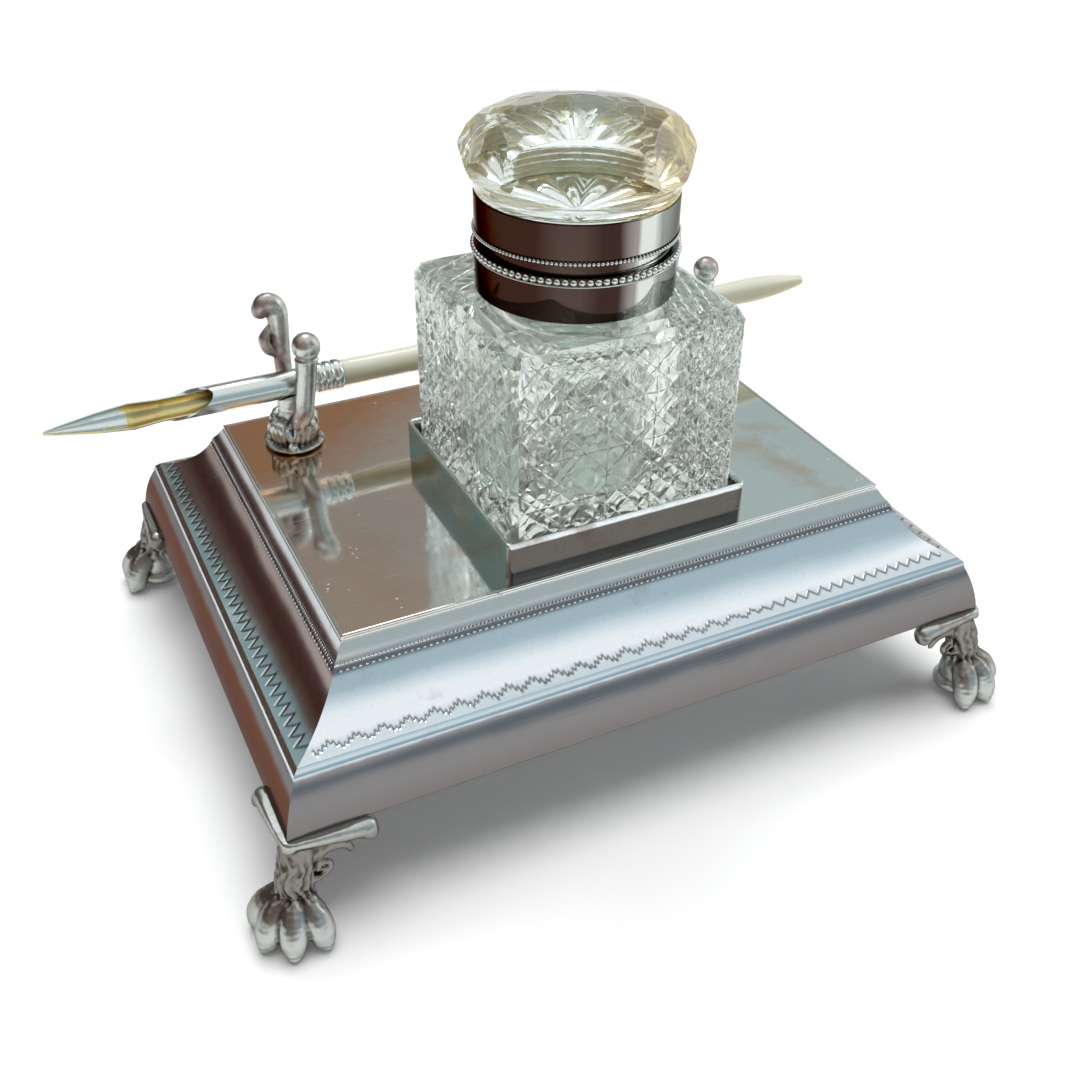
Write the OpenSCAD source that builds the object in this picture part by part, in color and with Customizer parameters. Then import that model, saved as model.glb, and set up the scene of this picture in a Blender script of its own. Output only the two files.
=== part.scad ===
// Desk inkstand: a hollow footed stand with a cut-glass well in a gallery and a pen across two rests.
// Units are millimetres. +Z is up, +X runs along the stand and the pen, and -Y is the front.
// The origin is on the desk, at the middle of the whole object's footprint.

/* [Stand] */
// Length of the flat top plate
plate_l = 140; // [130:1:180]
// Width of the flat top plate
plate_w = 98; // [92:1:125]
// Thickness of the top plate
plate_t = 1; // [0.8:0.1:1.6]
// Height of the moulding, from the skirt's lower edge to the top of the plate
stand_h = 31; // [26:1:38]
// Thickness of the moulding's sheet
sheet_t = 1.2; // [0.8:0.1:1.6]
// How far the sloped fascia runs out below the plate
fascia_run = 2.6; // [1.5:0.1:4]
// How far the fascia drops below the plate
fascia_drop = 3.4; // [2:0.1:5]
// Distance from the plate's edge out to the rim
rim_run = 17.4; // [13:0.1:22]
// Height of the rim above the skirt's lower edge
rim_h = 13; // [9:0.5:16]
// How deep the cove is hollowed
cove_sag = 2.1; // [0.8:0.05:2.4]
// How far the skirt flares out below the rim
skirt_flare = 3.9; // [1:0.1:6]
// Width of the flange under the plate
flange_w = 5; // [3:0.5:7]

/* [Feet] */
// Height of the feet, from the desk to the skirt
foot_h = 27; // [22:1:32]
// Reach of each toe from the ankle
toe_reach = 8.5; // [6:0.1:9.5]
// Radius of a toe
toe_r = 2.8; // [2.4:0.1:3.6]
// Radius of the ankle
ankle_r = 4; // [3.4:0.1:5]
// Length of the leaf that runs under each side of the skirt
wing_l = 19.5; // [15:0.5:26]
// Thickness of the leaf
wing_t = 3; // [2:0.1:4]
// Side of the corner gusset
gusset_l = 19; // [16:0.5:26]
// Thickness of the corner gusset
gusset_t = 1.5; // [1:0.1:2.5]
// Radius of the studs on the feet and the rests
stud_r = 1.5; // [1.2:0.1:2]
// Clearance round a stud
stud_gap = 0.2; // [0.1:0.05:0.4]
// Thickness of a washer
washer_t = 0.8; // [0.5:0.1:1.2]
// Thickness of a nut
nut_t = 2.2; // [1.6:0.1:3]

/* [Gallery] */
// How far the well sits forward of the stand's middle
well_forward = 15.4; // [8:0.1:17]
// How far the well sits to the right of the stand's middle
well_right = 0.7; // [-5:0.1:5]
// Height of the gallery wall above the plate
gallery_h = 9.5; // [6:0.5:14]
// Thickness of the gallery wall
gallery_t = 1; // [0.8:0.1:1.5]
// Gap between the glass and the gallery
gallery_gap = 1.2; // [0.5:0.1:1.5]

/* [Well] */
// Side of the square glass body
bottle_w = 57.5; // [50:0.5:62]
// Height of the glass body, from the plate to the shoulder
bottle_h = 53.5; // [44:0.5:66]
// Width of the cut along each upright edge
edge_cut = 2.4; // [1:0.1:4]
// Width and drop of the bevel round the shoulder
bevel = 3.4; // [2:0.1:5]
// Thickness of the glass floor
floor_t = 9; // [6:0.5:12]
// Radius of the ink hollow
ink_r = 20; // [16:0.5:21]
// Radius of the mouth
mouth_r = 14; // [10:0.5:16]
// Outer radius of the collar and of the lid's band
collar_r = 22.5; // [20:0.1:24]
// Thickness of the collar's and the band's metal
collar_t = 0.8; // [0.6:0.1:1]
// Height of the collar
collar_h = 10.2; // [8:0.1:12]
// Thickness of the cement between glass and metal
cement_t = 0.7; // [0.4:0.1:1]
// Gap that shows between the collar and the lid's band
lid_gap = 2.6; // [2.4:0.1:4]
// Height of the lid's band
band_h = 8.8; // [8:0.1:11]
// Radius of the beading round the collar
bead_r = 0.85; // [0.6:0.05:1]
// Radius of the finer beading round the lid's band
fine_bead_r = 0.5; // [0.3:0.05:0.7]
// How far the bezel stands up inside the lid
bezel_h = 4.2; // [3.6:0.1:5.4]
// Radial gap between the bezel and the lid's band
bezel_gap = 0.9; // [0.6:0.1:1.4]

/* [Lid glass] */
// Largest radius of the glass lid
dome_r = 26; // [24:0.1:28]
// Radius of the flat top of the glass lid
dome_top_r = 17; // [12:0.5:19]
// Height of the glass lid above its band
dome_h = 17.6; // [15:0.1:21]
// Height of the widest part above the band
dome_wide_h = 7.4; // [6:0.1:9]

/* [Hinge] */
// Radius of the hinge's knuckles
knuckle_r = 1.8; // [1.5:0.1:2.1]
// Length of each of the three knuckles
knuckle_l = 5; // [4:0.1:6]
// Radius of the hinge pin
pin_r = 0.8; // [0.6:0.05:1]
// Running clearance round the hinge pin
pin_gap = 0.05; // [0.02:0.01:0.1]
// Height of each hinge leaf on its band
leaf_h = 6; // [4:0.1:7]
// Thickness of a hinge leaf
leaf_t = 1; // [0.7:0.1:1.3]

/* [Pen] */
// Length of the pen from tip to end
pen_l = 218; // [190:1:230]
// How far the middle of the pen lies left of the stand's middle
pen_left = 5.8; // [0:0.1:8]
// Distance of the pen behind the stand's middle
pen_back = 32.8; // [31:0.1:36]
// Height of the pen's axis above the plate
pen_up = 17; // [14:0.5:22]
// Radius of the metal tube that holds the nib
tube_r = 3.5; // [3:0.1:3.6]
// Wall of the metal tube
tube_t = 0.5; // [0.3:0.05:0.7]
// Wall of the nib
nib_t = 0.4; // [0.3:0.05:0.6]
// Length of the nib's point, from the tip to its shoulders
nib_point_l = 20.5; // [14:0.5:26]
// Radius of the nib at its shoulders
nib_shoulder_r = 3.5; // [2.8:0.1:4]
// Distance from the tip to the end of the tube's tongue
tongue_at = 27.3; // [24:0.1:32]
// Length of the slanting cut through the tube
slant_l = 13; // [8:0.5:16]
// Distance from the tip to the ferrule ring
ring_at = 66.6; // [60:0.1:70]
// Length of the ferrule ring
ring_l = 7; // [5:0.1:9]
// How far the ferrule ring stands proud of the tube
ring_proud = 0.4; // [0.2:0.05:0.7]
// How much thinner the handle is than the tube, in radius
handle_step = 0.1; // [0:0.05:0.4]
// Length over which the handle's end tapers
handle_taper_l = 26; // [15:1:40]
// How far the pen is rolled, so that its scoop faces forward and up
pen_roll = 38; // [0:1:90]

/* [Pen rests] */
// Distance of the left rest from the stand's middle
rest_left = 55; // [48:0.5:58]
// Distance between the rests
rest_span = 115; // [100:0.5:116]
// Radius of a rest's foot
rest_r = 8; // [6.5:0.1:8.2]
// Height of a rest's foot
rest_foot_h = 9.5; // [7:0.5:11]
// Radius of the ball on the front arm
ball_r = 3.6; // [3:0.1:4]
// Height of the ball's centre above the plate
ball_up = 30; // [26:0.5:34]
// Height of the hook's top above the plate
hook_up = 39; // [35:0.5:44]
// How far the arms lean to the right at their tops
arm_lean = 3.5; // [0:0.1:4]
// Gap between the pen and what holds it
rest_gap = 0.3; // [0.2:0.05:0.5]

/* [Hidden] */
$fn = 64;
big = 400;                                   // size of a cutting block
glue_gap = 0.04;                             // gap between pieces that are soldered or cemented
quarter = 1 - cos(45);                       // sag of a quarter circle of radius 1

// Stand
plate_z = foot_h + stand_h;                  // top of the plate
skirt_run = rim_run + skirt_flare;           // from the plate's edge to the skirt's lower edge
corner_x = plate_l / 2 + skirt_run;
corner_y = plate_w / 2 + skirt_run;
fascia_end = [fascia_run, stand_h - plate_t - fascia_drop];
cove_end = [rim_run - 1.3, rim_h + 1.4];
rim = [rim_run, rim_h];
skirt_end = [skirt_run, 0];
skirt_sag = 0.55;                            // the skirt bellies outward a little
moulding_line = concat([[0, stand_h - plate_t]], arc(fascia_end, cove_end, -cove_sag, 12),
                       arc(rim, skirt_end, skirt_sag, 6));

// Fixings
gusset_in = sheet_t + skirt_flare * 0.25;    // from the skirt's lower corner in to the gusset
stud_in = gusset_in + gusset_l * 0.34;       // from the corner in to the stud
stud_hole_r = stud_r + stud_gap;
washer_r = 2.2 * stud_r;
nut_r = 2 * stud_r;
stud_end = washer_t + nut_t + 1;             // how far a stud reaches past its plate
foot_corners = [[-1, -1], [1, -1], [-1, 1], [1, 1]];

// Well
well_x = well_right;
well_y = -well_forward;
shoulder_z = plate_z + bottle_h;
collar_top = shoulder_z + collar_h;
band_z = collar_top + lid_gap;               // lower edge of the lid's band
band_top = band_z + band_h;
bore_r = collar_r - collar_t;                // inside of the collar and of the lid's band
neck_r = bore_r - cement_t - 2 * glue_gap;   // glass inside the metal
bezel_r = bore_r - bezel_gap;
bezel_top = collar_top + bezel_h;
lining_z = bezel_top + 0.6;
lining_t = 0.8;
dome_z = lining_z + lining_t + glue_gap;     // underside of the glass lid
knuckle_off = 0.4;                           // the knuckles stand clear of the bands
knuckle_step = knuckle_l + 0.15;             // and 0.15 apart along the pin
hinge_y = well_y + collar_r + knuckle_r + knuckle_off;
hinge_z = collar_top + lid_gap / 2;

// Pen and rests
pen_z = plate_z + pen_up;
tip_x = -pen_l / 2;
rest_x = [-rest_left, rest_span - rest_left];
arm_out = tube_r + ball_r + 0.4;             // from the pen's axis to the ball's centre
nib_r = tube_r - tube_t - glue_gap;
ring_r = tube_r + ring_proud;
handle_r = tube_r - handle_step;

// Points on a circular arc from p to q. The arc bows by sag to the left of the way from p to q.
function arc(p, q, sag, steps) =
    let (chord = norm(q - p), r = chord * chord / (8 * sag) + sag / 2,
         along = (q - p) / chord, left = [-along.y, along.x],
         centre = (p + q) / 2 + left * (sag - r),
         a0 = atan2(p.y - centre.y, p.x - centre.x), turn = atan2(q.y - centre.y, q.x - centre.x) - a0,
         sweep = turn > 180 ? turn - 360 : turn < -180 ? turn + 360 : turn)
    [for (i = [0:steps]) i == 0 ? p : i == steps ? q :
        centre + abs(r) * [cos(a0 + sweep * i / steps), sin(a0 + sweep * i / steps)]];

// Puts what is built about the stand's own middle into the object's frame
module on_stand() { translate([pen_left, 0, 0]) children(); }

// A square of side w with corners of radius r
module round_square(w, r) {
    square([w - 2 * r, w], center = true);
    square([w, w - 2 * r], center = true);
    for (x = [-1, 1], y = [-1, 1]) translate([x, y] * (w / 2 - r)) circle(r);
}

// A ring about +Z
module ring(outer, inner, h) {
    difference() {
        cylinder(r = outer, h = h);
        translate([0, 0, -1]) cylinder(r = inner, h = h + 2);
    }
}

// A round bar from p to q
module bar(p, q, r1, r2) {
    d = q - p;
    translate(p) rotate([0, acos(d.z / norm(d)), atan2(d.y, d.x)]) cylinder(r1 = r1, r2 = r2, h = norm(d));
}

module nut() {
    difference() {
        cylinder(r = nut_r, h = nut_t, $fn = 6);
        translate([0, 0, -1]) cylinder(r = stud_r + glue_gap, h = nut_t + 2);
    }
}

// --- Stand ---

module top_plate() color("silver") on_stand() difference() {
    translate([-plate_l / 2, -plate_w / 2, plate_z - plate_t]) cube([plate_l, plate_w, plate_t]);
    for (x = rest_x)
        translate([x, pen_back, plate_z - 2 * plate_t]) cylinder(r = stud_hole_r, h = 3 * plate_t);
}

// Section through the moulding: X runs outward from the plate's edge, Y up from the skirt's lower edge
module moulding_section() {
    drop = 0.8 * sheet_t;
    top = stand_h - plate_t;
    inside = [for (p = moulding_line) [p.x - sheet_t, max(0, p.y - drop)]];
    last = len(inside) - 1;
    polygon(concat([[-flange_w, top]], moulding_line, [for (i = [last:-1:1]) inside[i]],
                   [[fascia_run * sheet_t / fascia_drop - sheet_t, top - sheet_t],
                    [-flange_w, top - sheet_t]]));
}

// One side of the stand, cut at 45 degrees at both ends. The side is `along` long and `off` from the middle.
module moulding(along, off) {
    reach = skirt_run + 5;
    intersection() {
        translate([-big / 2, -off, foot_h]) rotate([90, 0, 90]) mirror([1, 0, 0])
            linear_extrude(big) moulding_section();
        translate([0, -off, 0]) linear_extrude(big)
            polygon([[-along / 2 + off, off], [-along / 2 - reach, -reach], [along / 2 + reach, -reach],
                     [along / 2 - off, off]]);
    }
}

module front_moulding() color("silver") on_stand() moulding(plate_l, plate_w / 2);
module back_moulding() color("silver") on_stand() rotate(180) moulding(plate_l, plate_w / 2);
module left_moulding() color("silver") on_stand() rotate(-90) moulding(plate_w, plate_l / 2);
module right_moulding() color("silver") on_stand() rotate(90) moulding(plate_w, plate_l / 2);

// Places a piece built for the front left corner, with the corner at the origin, at each listed corner
module at_corners(corners) {
    for (c = corners) translate([c.x * corner_x, c.y * corner_y, 0])
        mirror([c.x > 0 ? 1 : 0, 0, 0]) mirror([0, c.y > 0 ? 1 : 0, 0]) children();
}

module corner_gussets() color("gray") on_stand() at_corners(foot_corners) difference() {
    translate([gusset_in, gusset_in, foot_h]) linear_extrude(gusset_t)
        polygon([[0, 0], [gusset_l, 0], [0, gusset_l]]);
    translate([stud_in, stud_in, foot_h - 1]) cylinder(r = stud_hole_r, h = gusset_t + 2);
}

// --- Feet ---

// Leaf under the skirt, in the XZ plane: a scrolled end, a lower curl and a small volute by the ankle
module wing_outline() {
    scroll_r = 2.1;
    curl_r = 1.3;
    volute_r = 1.9;
    union() {
        polygon(concat([[0, foot_h]], [[wing_l - scroll_r, foot_h]],
                       arc([wing_l - scroll_r, foot_h - 2 * scroll_r], [ankle_r, foot_h - 9], -1.2, 6),
                       [[0, foot_h - 12]]));
        translate([wing_l - scroll_r, foot_h - scroll_r]) circle(scroll_r);
        translate([0.66 * wing_l, foot_h - 7.2]) circle(curl_r);
        translate([0.56 * wing_l, foot_h - 5.6]) circle(curl_r + 0.4);
        translate([0.35 * wing_l, foot_h - 10.4]) circle(volute_r);
    }
}

module wing() {
    intersection() {
        translate([0, wing_t - 0.8, 0]) rotate([90, 0, 0]) linear_extrude(wing_t) wing_outline();
        translate([-1, -big / 2, 0]) cube([big, big, foot_h]);
    }
}

// A lion's paw under the corner, its ankle, the two leaves and the stud that fixes it
module foot() {
    ankle = [0.2, 0.2];
    knee = [3.2, 3.2];
    pad_h = 4;
    pad_l = stud_in + 6;
    knuckle_up = 6.2;
    translate(ankle) cylinder(r = ankle_r + 1.2, h = knuckle_up);
    intersection() {
        bar([ankle.x, ankle.y, knuckle_up - 1], [knee.x, knee.y, foot_h + 2], ankle_r + 0.2, ankle_r - 0.4);
        cylinder(r = big, h = foot_h);
    }
    intersection() {
        union() {
            for (a = [-58, -17, 17, 58]) {
                out = toe_reach * [cos(225 + a), sin(225 + a)];
                toe = [ankle.x + out.x, ankle.y + out.y, toe_r - 0.5];
                knuckle = [ankle.x + 0.62 * out.x, ankle.y + 0.62 * out.y, knuckle_up];
                translate(toe) sphere(toe_r);
                translate(knuckle) sphere(toe_r + 0.2);
                bar(knuckle, toe, toe_r, toe_r - 0.3);
            }
        }
        cylinder(r = big, h = foot_h);
    }
    translate([0, 0, foot_h - pad_h]) linear_extrude(pad_h)
        polygon([[0, 0], [pad_l, 0], [pad_l, 2], [2, pad_l], [0, pad_l]]);
    wing();
    mirror([1, -1, 0]) wing();
    translate([stud_in, stud_in, foot_h - 1]) cylinder(r = stud_r, h = 1 + gusset_t + stud_end);
}

module foot_front_left() color("silver") on_stand() at_corners([foot_corners[0]]) foot();
module foot_front_right() color("silver") on_stand() at_corners([foot_corners[1]]) foot();
module foot_back_left() color("silver") on_stand() at_corners([foot_corners[2]]) foot();
module foot_back_right() color("silver") on_stand() at_corners([foot_corners[3]]) foot();

module foot_washers() color("gray") on_stand() at_corners(foot_corners)
    translate([stud_in, stud_in, foot_h + gusset_t]) ring(washer_r, stud_hole_r, washer_t);

module foot_nuts() color("gray") on_stand() at_corners(foot_corners)
    translate([stud_in, stud_in, foot_h + gusset_t + washer_t]) nut();

// --- Gallery and pen rests ---

module gallery_frame() color("silver") on_stand() translate([well_x, well_y, plate_z]) {
    inside = bottle_w + 2 * gallery_gap;
    linear_extrude(gallery_h) difference() {
        round_square(inside + 2 * gallery_t, 1.6);
        round_square(inside, 0.6);
    }
}

// Round foot of a rest, waisted towards its top
module rest_foot() {
    waist_r = 3.2;
    edge_h = 1.6;
    rotate_extrude()
        polygon(concat([[0, 0], [rest_r, 0]], arc([rest_r, edge_h], [waist_r, rest_foot_h], -1, 8),
                       [[0, rest_foot_h]]));
}

// Leafy foot, front arm with a ball, back arm with a hook and a bud, and a saddle for the pen
module pen_rest(x) {
    arm_r = 2.1;
    arm_foot = rest_foot_h - 3;
    elbow_up = 13;                           // where the arms turn upright
    saddle_r = 3.6;
    hook_r = 2.5;
    hook_bar = 1.8;
    bud_r = 2;
    ball = [arm_lean, -arm_out, ball_up];
    front_elbow = [arm_lean * elbow_up / ball_up, -arm_out + 0.6, elbow_up];
    hook = [0.8, arm_out - 0.7, hook_up - hook_r - hook_bar];
    on_stand() translate([x, pen_back, plate_z]) {
        rest_foot();
        difference() {
            translate([0, 0, rest_foot_h - 1]) cylinder(r = saddle_r, h = pen_up - rest_foot_h);
            translate([-rest_r, 0, pen_up]) rotate([0, 90, 0])
                cylinder(r = tube_r + rest_gap, h = 2 * rest_r);
        }
        bar([0, -3, arm_foot - 1], front_elbow, arm_r, arm_r + 0.1);
        bar(front_elbow, ball, arm_r, arm_r + 0.5);
        translate(ball) sphere(ball_r);
        bar([0, 4.2, arm_foot], [hook.x, hook.y, elbow_up + 1], arm_r, arm_r);
        bar([hook.x, hook.y, elbow_up - 1], hook, arm_r + 0.1, hook_bar + 0.1);
        translate([hook.x - hook_r, hook.y, hook.z]) rotate([90, 0, 0])
            rotate_extrude(angle = 130) translate([hook_r, 0]) circle(hook_bar);
        translate([hook.x - 1.5 * bud_r, hook.y, hook.z - 4 * bud_r]) rotate([0, 90, 0]) sphere(bud_r);
        translate([0, 0, -plate_t - stud_end]) cylinder(r = stud_r, h = plate_t + stud_end + 1);
    }
}

module pen_rest_left() color("silver") pen_rest(rest_x[0]);
module pen_rest_right() color("silver") pen_rest(rest_x[1]);

module rest_washers() color("gray") on_stand() for (x = rest_x)
    translate([x, pen_back, plate_z - plate_t - washer_t]) ring(washer_r, stud_hole_r, washer_t);

module rest_nuts() color("gray") on_stand() for (x = rest_x)
    translate([x, pen_back, plate_z - plate_t - washer_t - nut_t]) nut();

// --- Well ---

module on_well(z) { on_stand() translate([well_x, well_y, z]) children(); }

// Side view of the glass body: a bevelled shoulder, and a small cut round the foot
module bottle_side() {
    w = bottle_w / 2;
    polygon([[-w + 1, 0], [w - 1, 0], [w, 1], [w, bottle_h - bevel], [w - bevel, bottle_h],
             [-w + bevel, bottle_h], [-w, bottle_h - bevel], [-w, 1]]);
}

module bottle_body() {
    w = bottle_w / 2;
    c = w - edge_cut;
    intersection() {
        linear_extrude(bottle_h)
            polygon([[-c, -w], [c, -w], [w, -c], [w, c], [c, w], [-c, w], [-w, c], [-w, -c]]);
        translate([0, big / 2, 0]) rotate([90, 0, 0]) linear_extrude(big) bottle_side();
        translate([-big / 2, 0, 0]) rotate([90, 0, 90]) linear_extrude(big) bottle_side();
    }
}

module glass_bottle() color("lightcyan", 0.5) on_well(plate_z) {
    neck_h = collar_h - collar_t - glue_gap;
    roof = bottle_h - 6;                     // top of the ink hollow, below the mouth
    floor_round = 5;
    roof_round = ink_r - mouth_r;
    difference() {
        union() {
            bottle_body();
            translate([0, 0, bottle_h - 1]) cylinder(r = neck_r, h = neck_h + 1);
        }
        rotate_extrude() polygon(concat([[0, floor_t]],
                                        arc([ink_r - floor_round, floor_t], [ink_r, floor_t + floor_round],
                                            -quarter * floor_round, 6),
                                        arc([ink_r, roof - roof_round], [mouth_r, roof],
                                            -quarter * roof_round, 6),
                                        [[mouth_r, bottle_h + neck_h + 1], [0, bottle_h + neck_h + 1]]));
    }
}

module neck_cement() color("ivory") on_well(shoulder_z + glue_gap)
    ring(bore_r - glue_gap, neck_r + glue_gap, collar_h - collar_t - 2 * glue_gap);

// Band round the neck, with a lip over the glass and the bezel that the lid closes over
module neck_collar() color("silver") on_well(shoulder_z + glue_gap) {
    h = collar_h - glue_gap;
    rotate_extrude() polygon([[bore_r, 0], [collar_r, 0], [collar_r, h], [bezel_r, h],
                              [bezel_r, h + bezel_h], [bezel_r - collar_t, h + bezel_h],
                              [bezel_r - collar_t, h], [mouth_r, h], [mouth_r, h - collar_t],
                              [bore_r, h - collar_t]]);
}

// Leaves room for the hinge in what goes round the back of a band
module without_hinge() {
    room = 3 * knuckle_l + 1;
    difference() {
        children();
        translate([-room / 2, 0, -50]) cube([room, 50, 100]);
    }
}

module collar_bead_ring() color("silver") on_well(collar_top - bead_r) without_hinge()
    rotate_extrude() difference() {
        translate([collar_r + glue_gap, 0]) circle(bead_r);
        translate([0, -5]) square([collar_r + glue_gap, 10]);
    }

module lid_bead_ring() color("silver") on_well(band_z + fine_bead_r) without_hinge()
    rotate_extrude() difference() {
        translate([collar_r + glue_gap, 0]) circle(fine_bead_r);
        translate([0, -5]) square([collar_r + glue_gap, 10]);
    }

// --- Hinge ---

// A leaf on the outside of the band, from z0 to z1
module leaf_plate(z0, z1) {
    wide = 3 * knuckle_l + 0.3;
    deep = 6;                                // reaches inside the band's curve, which then trims it
    on_stand() translate([well_x - wide / 2, hinge_y - deep, z0])
        cube([wide, deep - knuckle_r - knuckle_off + leaf_t, z1 - z0]);
}

module band_space(r) { on_well(0) cylinder(r = r + glue_gap, h = big); }

module knuckle(x, grow) {
    on_stand() translate([well_x + x - knuckle_l / 2 - grow, hinge_y, hinge_z]) rotate([0, 90, 0])
        cylinder(r = knuckle_r + grow, h = knuckle_l + 2 * grow);
}

// Joins a knuckle to its leaf, from the hinge's axis to z
module web(x, z) {
    on_stand() translate([well_x + x - knuckle_l / 2, hinge_y - knuckle_r - knuckle_off, min(z, hinge_z)])
        cube([knuckle_l, knuckle_r, abs(z - hinge_z)]);
}

module pin_bore(gap) {
    on_stand() translate([well_x - big / 2, hinge_y, hinge_z]) rotate([0, 90, 0])
        cylinder(r = pin_r + gap, h = big);
}

module collar_hinge_leaf() color("silver") difference() {
    union() {
        leaf_plate(collar_top - leaf_h, hinge_z - knuckle_r - 0.3);
        for (s = [-1, 1]) {
            knuckle(s * knuckle_step, 0);
            web(s * knuckle_step, hinge_z - knuckle_r - 1);
        }
    }
    band_space(collar_r);
    knuckle(0, 0.15);
    pin_bore(glue_gap);
}

module lid_hinge_leaf() color("silver") difference() {
    union() {
        leaf_plate(hinge_z + knuckle_r + 0.4, band_z + leaf_h);
        knuckle(0, 0);
        web(0, hinge_z + knuckle_r + 1);
    }
    band_space(collar_r);
    pin_bore(pin_gap);
}

module hinge_pin() color("gray") on_stand()
    translate([well_x - 1.5 * knuckle_l - 0.6, hinge_y, hinge_z]) rotate([0, 90, 0])
        cylinder(r = pin_r, h = 3 * knuckle_l + 1.2);

// --- Lid ---

module lid_band() color("silver") on_well(band_z) rotate_extrude()
    polygon([[bore_r, 0], [collar_r, 0], [collar_r, band_h], [bore_r, band_h]]);

module lid_lining() color("silver") on_well(lining_z) cylinder(r = bore_r - glue_gap, h = lining_t);

module lid_cement() color("ivory") on_well(dome_z)
    ring(bore_r - glue_gap, neck_r + glue_gap, band_top - dome_z);

module lid_glass() color("lightcyan", 0.5) on_well(0) {
    seat_z = band_top + 0.3;                 // the glass stands just clear of its band
    seat_r = collar_r - 0.8;
    wide_z = band_top + dome_wide_h;
    rotate_extrude()
        polygon(concat([[0, dome_z], [neck_r, dome_z], [neck_r, seat_z], [seat_r, seat_z],
                        [seat_r, seat_z + 1.9]],
                       arc([collar_r, seat_z + 2.5], [dome_r, wide_z], -0.2, 4),
                       arc([dome_r - 0.6, wide_z + 2.4], [dome_top_r, band_top + dome_h], -1.8, 8),
                       [[0, band_top + dome_h]]));
}

// --- Pen, built along +X from its tip at the origin, with the scoop opening upward ---

module on_pen() { translate([tip_x, pen_back, pen_z]) rotate([pen_roll, 0, 0]) children(); }

module along_pen(x0, x1, r) { translate([x0, 0, 0]) rotate([0, 90, 0]) cylinder(r = r, h = x1 - x0); }

// A cone about the pen's axis, from radius r0 at x0 to r1 at x1
module taper_pen(x0, x1, r0, r1) {
    translate([x0, 0, 0]) rotate([0, 90, 0]) cylinder(r1 = r0, r2 = r1, h = x1 - x0);
}

// Half a tube, drawn in to a point at the tip
module nib() color("gold") on_pen() {
    end = tongue_at + slant_l + 12;
    point_r = 0.5;
    difference() {
        union() {
            taper_pen(0, nib_point_l, point_r, nib_shoulder_r);
            taper_pen(nib_point_l, tongue_at, nib_shoulder_r, nib_r);
            along_pen(tongue_at, end, nib_r);
        }
        taper_pen(nib_t, nib_point_l, point_r - nib_t / 2, nib_shoulder_r - nib_t);
        taper_pen(nib_point_l, tongue_at, nib_shoulder_r - nib_t, nib_r - nib_t);
        along_pen(tongue_at - 0.01, end + 1, nib_r - nib_t);
        translate([-1, -10, 0]) cube([end + 2, 20, 10]);
    }
}

module ferrule() color("silver") on_pen() difference() {
    along_pen(tongue_at, ring_at + ring_l - 1, tube_r);
    along_pen(tongue_at - 1, ring_at + ring_l, tube_r - tube_t);
    translate([tongue_at, -10, -tube_r]) rotate([0, -atan2(2 * tube_r, slant_l), 0])
        translate([-big, 0, 0]) cube([2 * big, 20, big]);
}

// Three rounded bands in one sleeve
module ferrule_ring() color("silver") on_pen() translate([ring_at, 0, 0]) rotate([0, 90, 0]) {
    band_l = ring_l / 3;
    swell = 0.3;
    root_r = ring_r - swell;
    rotate_extrude() polygon(concat([[tube_r + glue_gap, 0]],
        [for (i = [0:2]) each arc([root_r, i * band_l], [root_r, (i + 1) * band_l], -swell, 6)],
        [[tube_r + glue_gap, ring_l]]));
}

module handle() color("oldlace") on_pen() translate([ring_at + ring_l, 0, 0]) rotate([0, 90, 0]) {
    long = pen_l - ring_at - ring_l;
    spigot = 12;
    rotate_extrude() polygon(concat([[0, -spigot], [tube_r - tube_t - glue_gap, -spigot],
                                     [tube_r - tube_t - glue_gap, glue_gap], [handle_r, glue_gap]],
        arc([handle_r, long - handle_taper_l], [1.2, long - 0.8], -1.1, 10), [[0, long]]));
}

top_plate();
front_moulding();
back_moulding();
left_moulding();
right_moulding();
corner_gussets();
foot_front_left();
foot_front_right();
foot_back_left();
foot_back_right();
foot_washers();
foot_nuts();
gallery_frame();
pen_rest_left();
pen_rest_right();
rest_washers();
rest_nuts();
glass_bottle();
neck_cement();
neck_collar();
collar_bead_ring();
collar_hinge_leaf();
hinge_pin();
lid_band();
lid_bead_ring();
lid_cement();
lid_glass();
lid_lining();
lid_hinge_leaf();
nib();
ferrule();
ferrule_ring();
handle();
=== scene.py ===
"""Finishes a desk inkstand: silver stand on paws, cut-glass well with a hinged lid, and pearl-handled pen.

Sizes are in millimetres until a mesh is finished, and in metres from then on. +Z is up, -Y is the front.
"""
import math

import bmesh
import bpy
import numpy as np
from bpy.props import FloatProperty, FloatVectorProperty, IntProperty, PointerProperty
from mathutils import Matrix, Vector, noise


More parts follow.
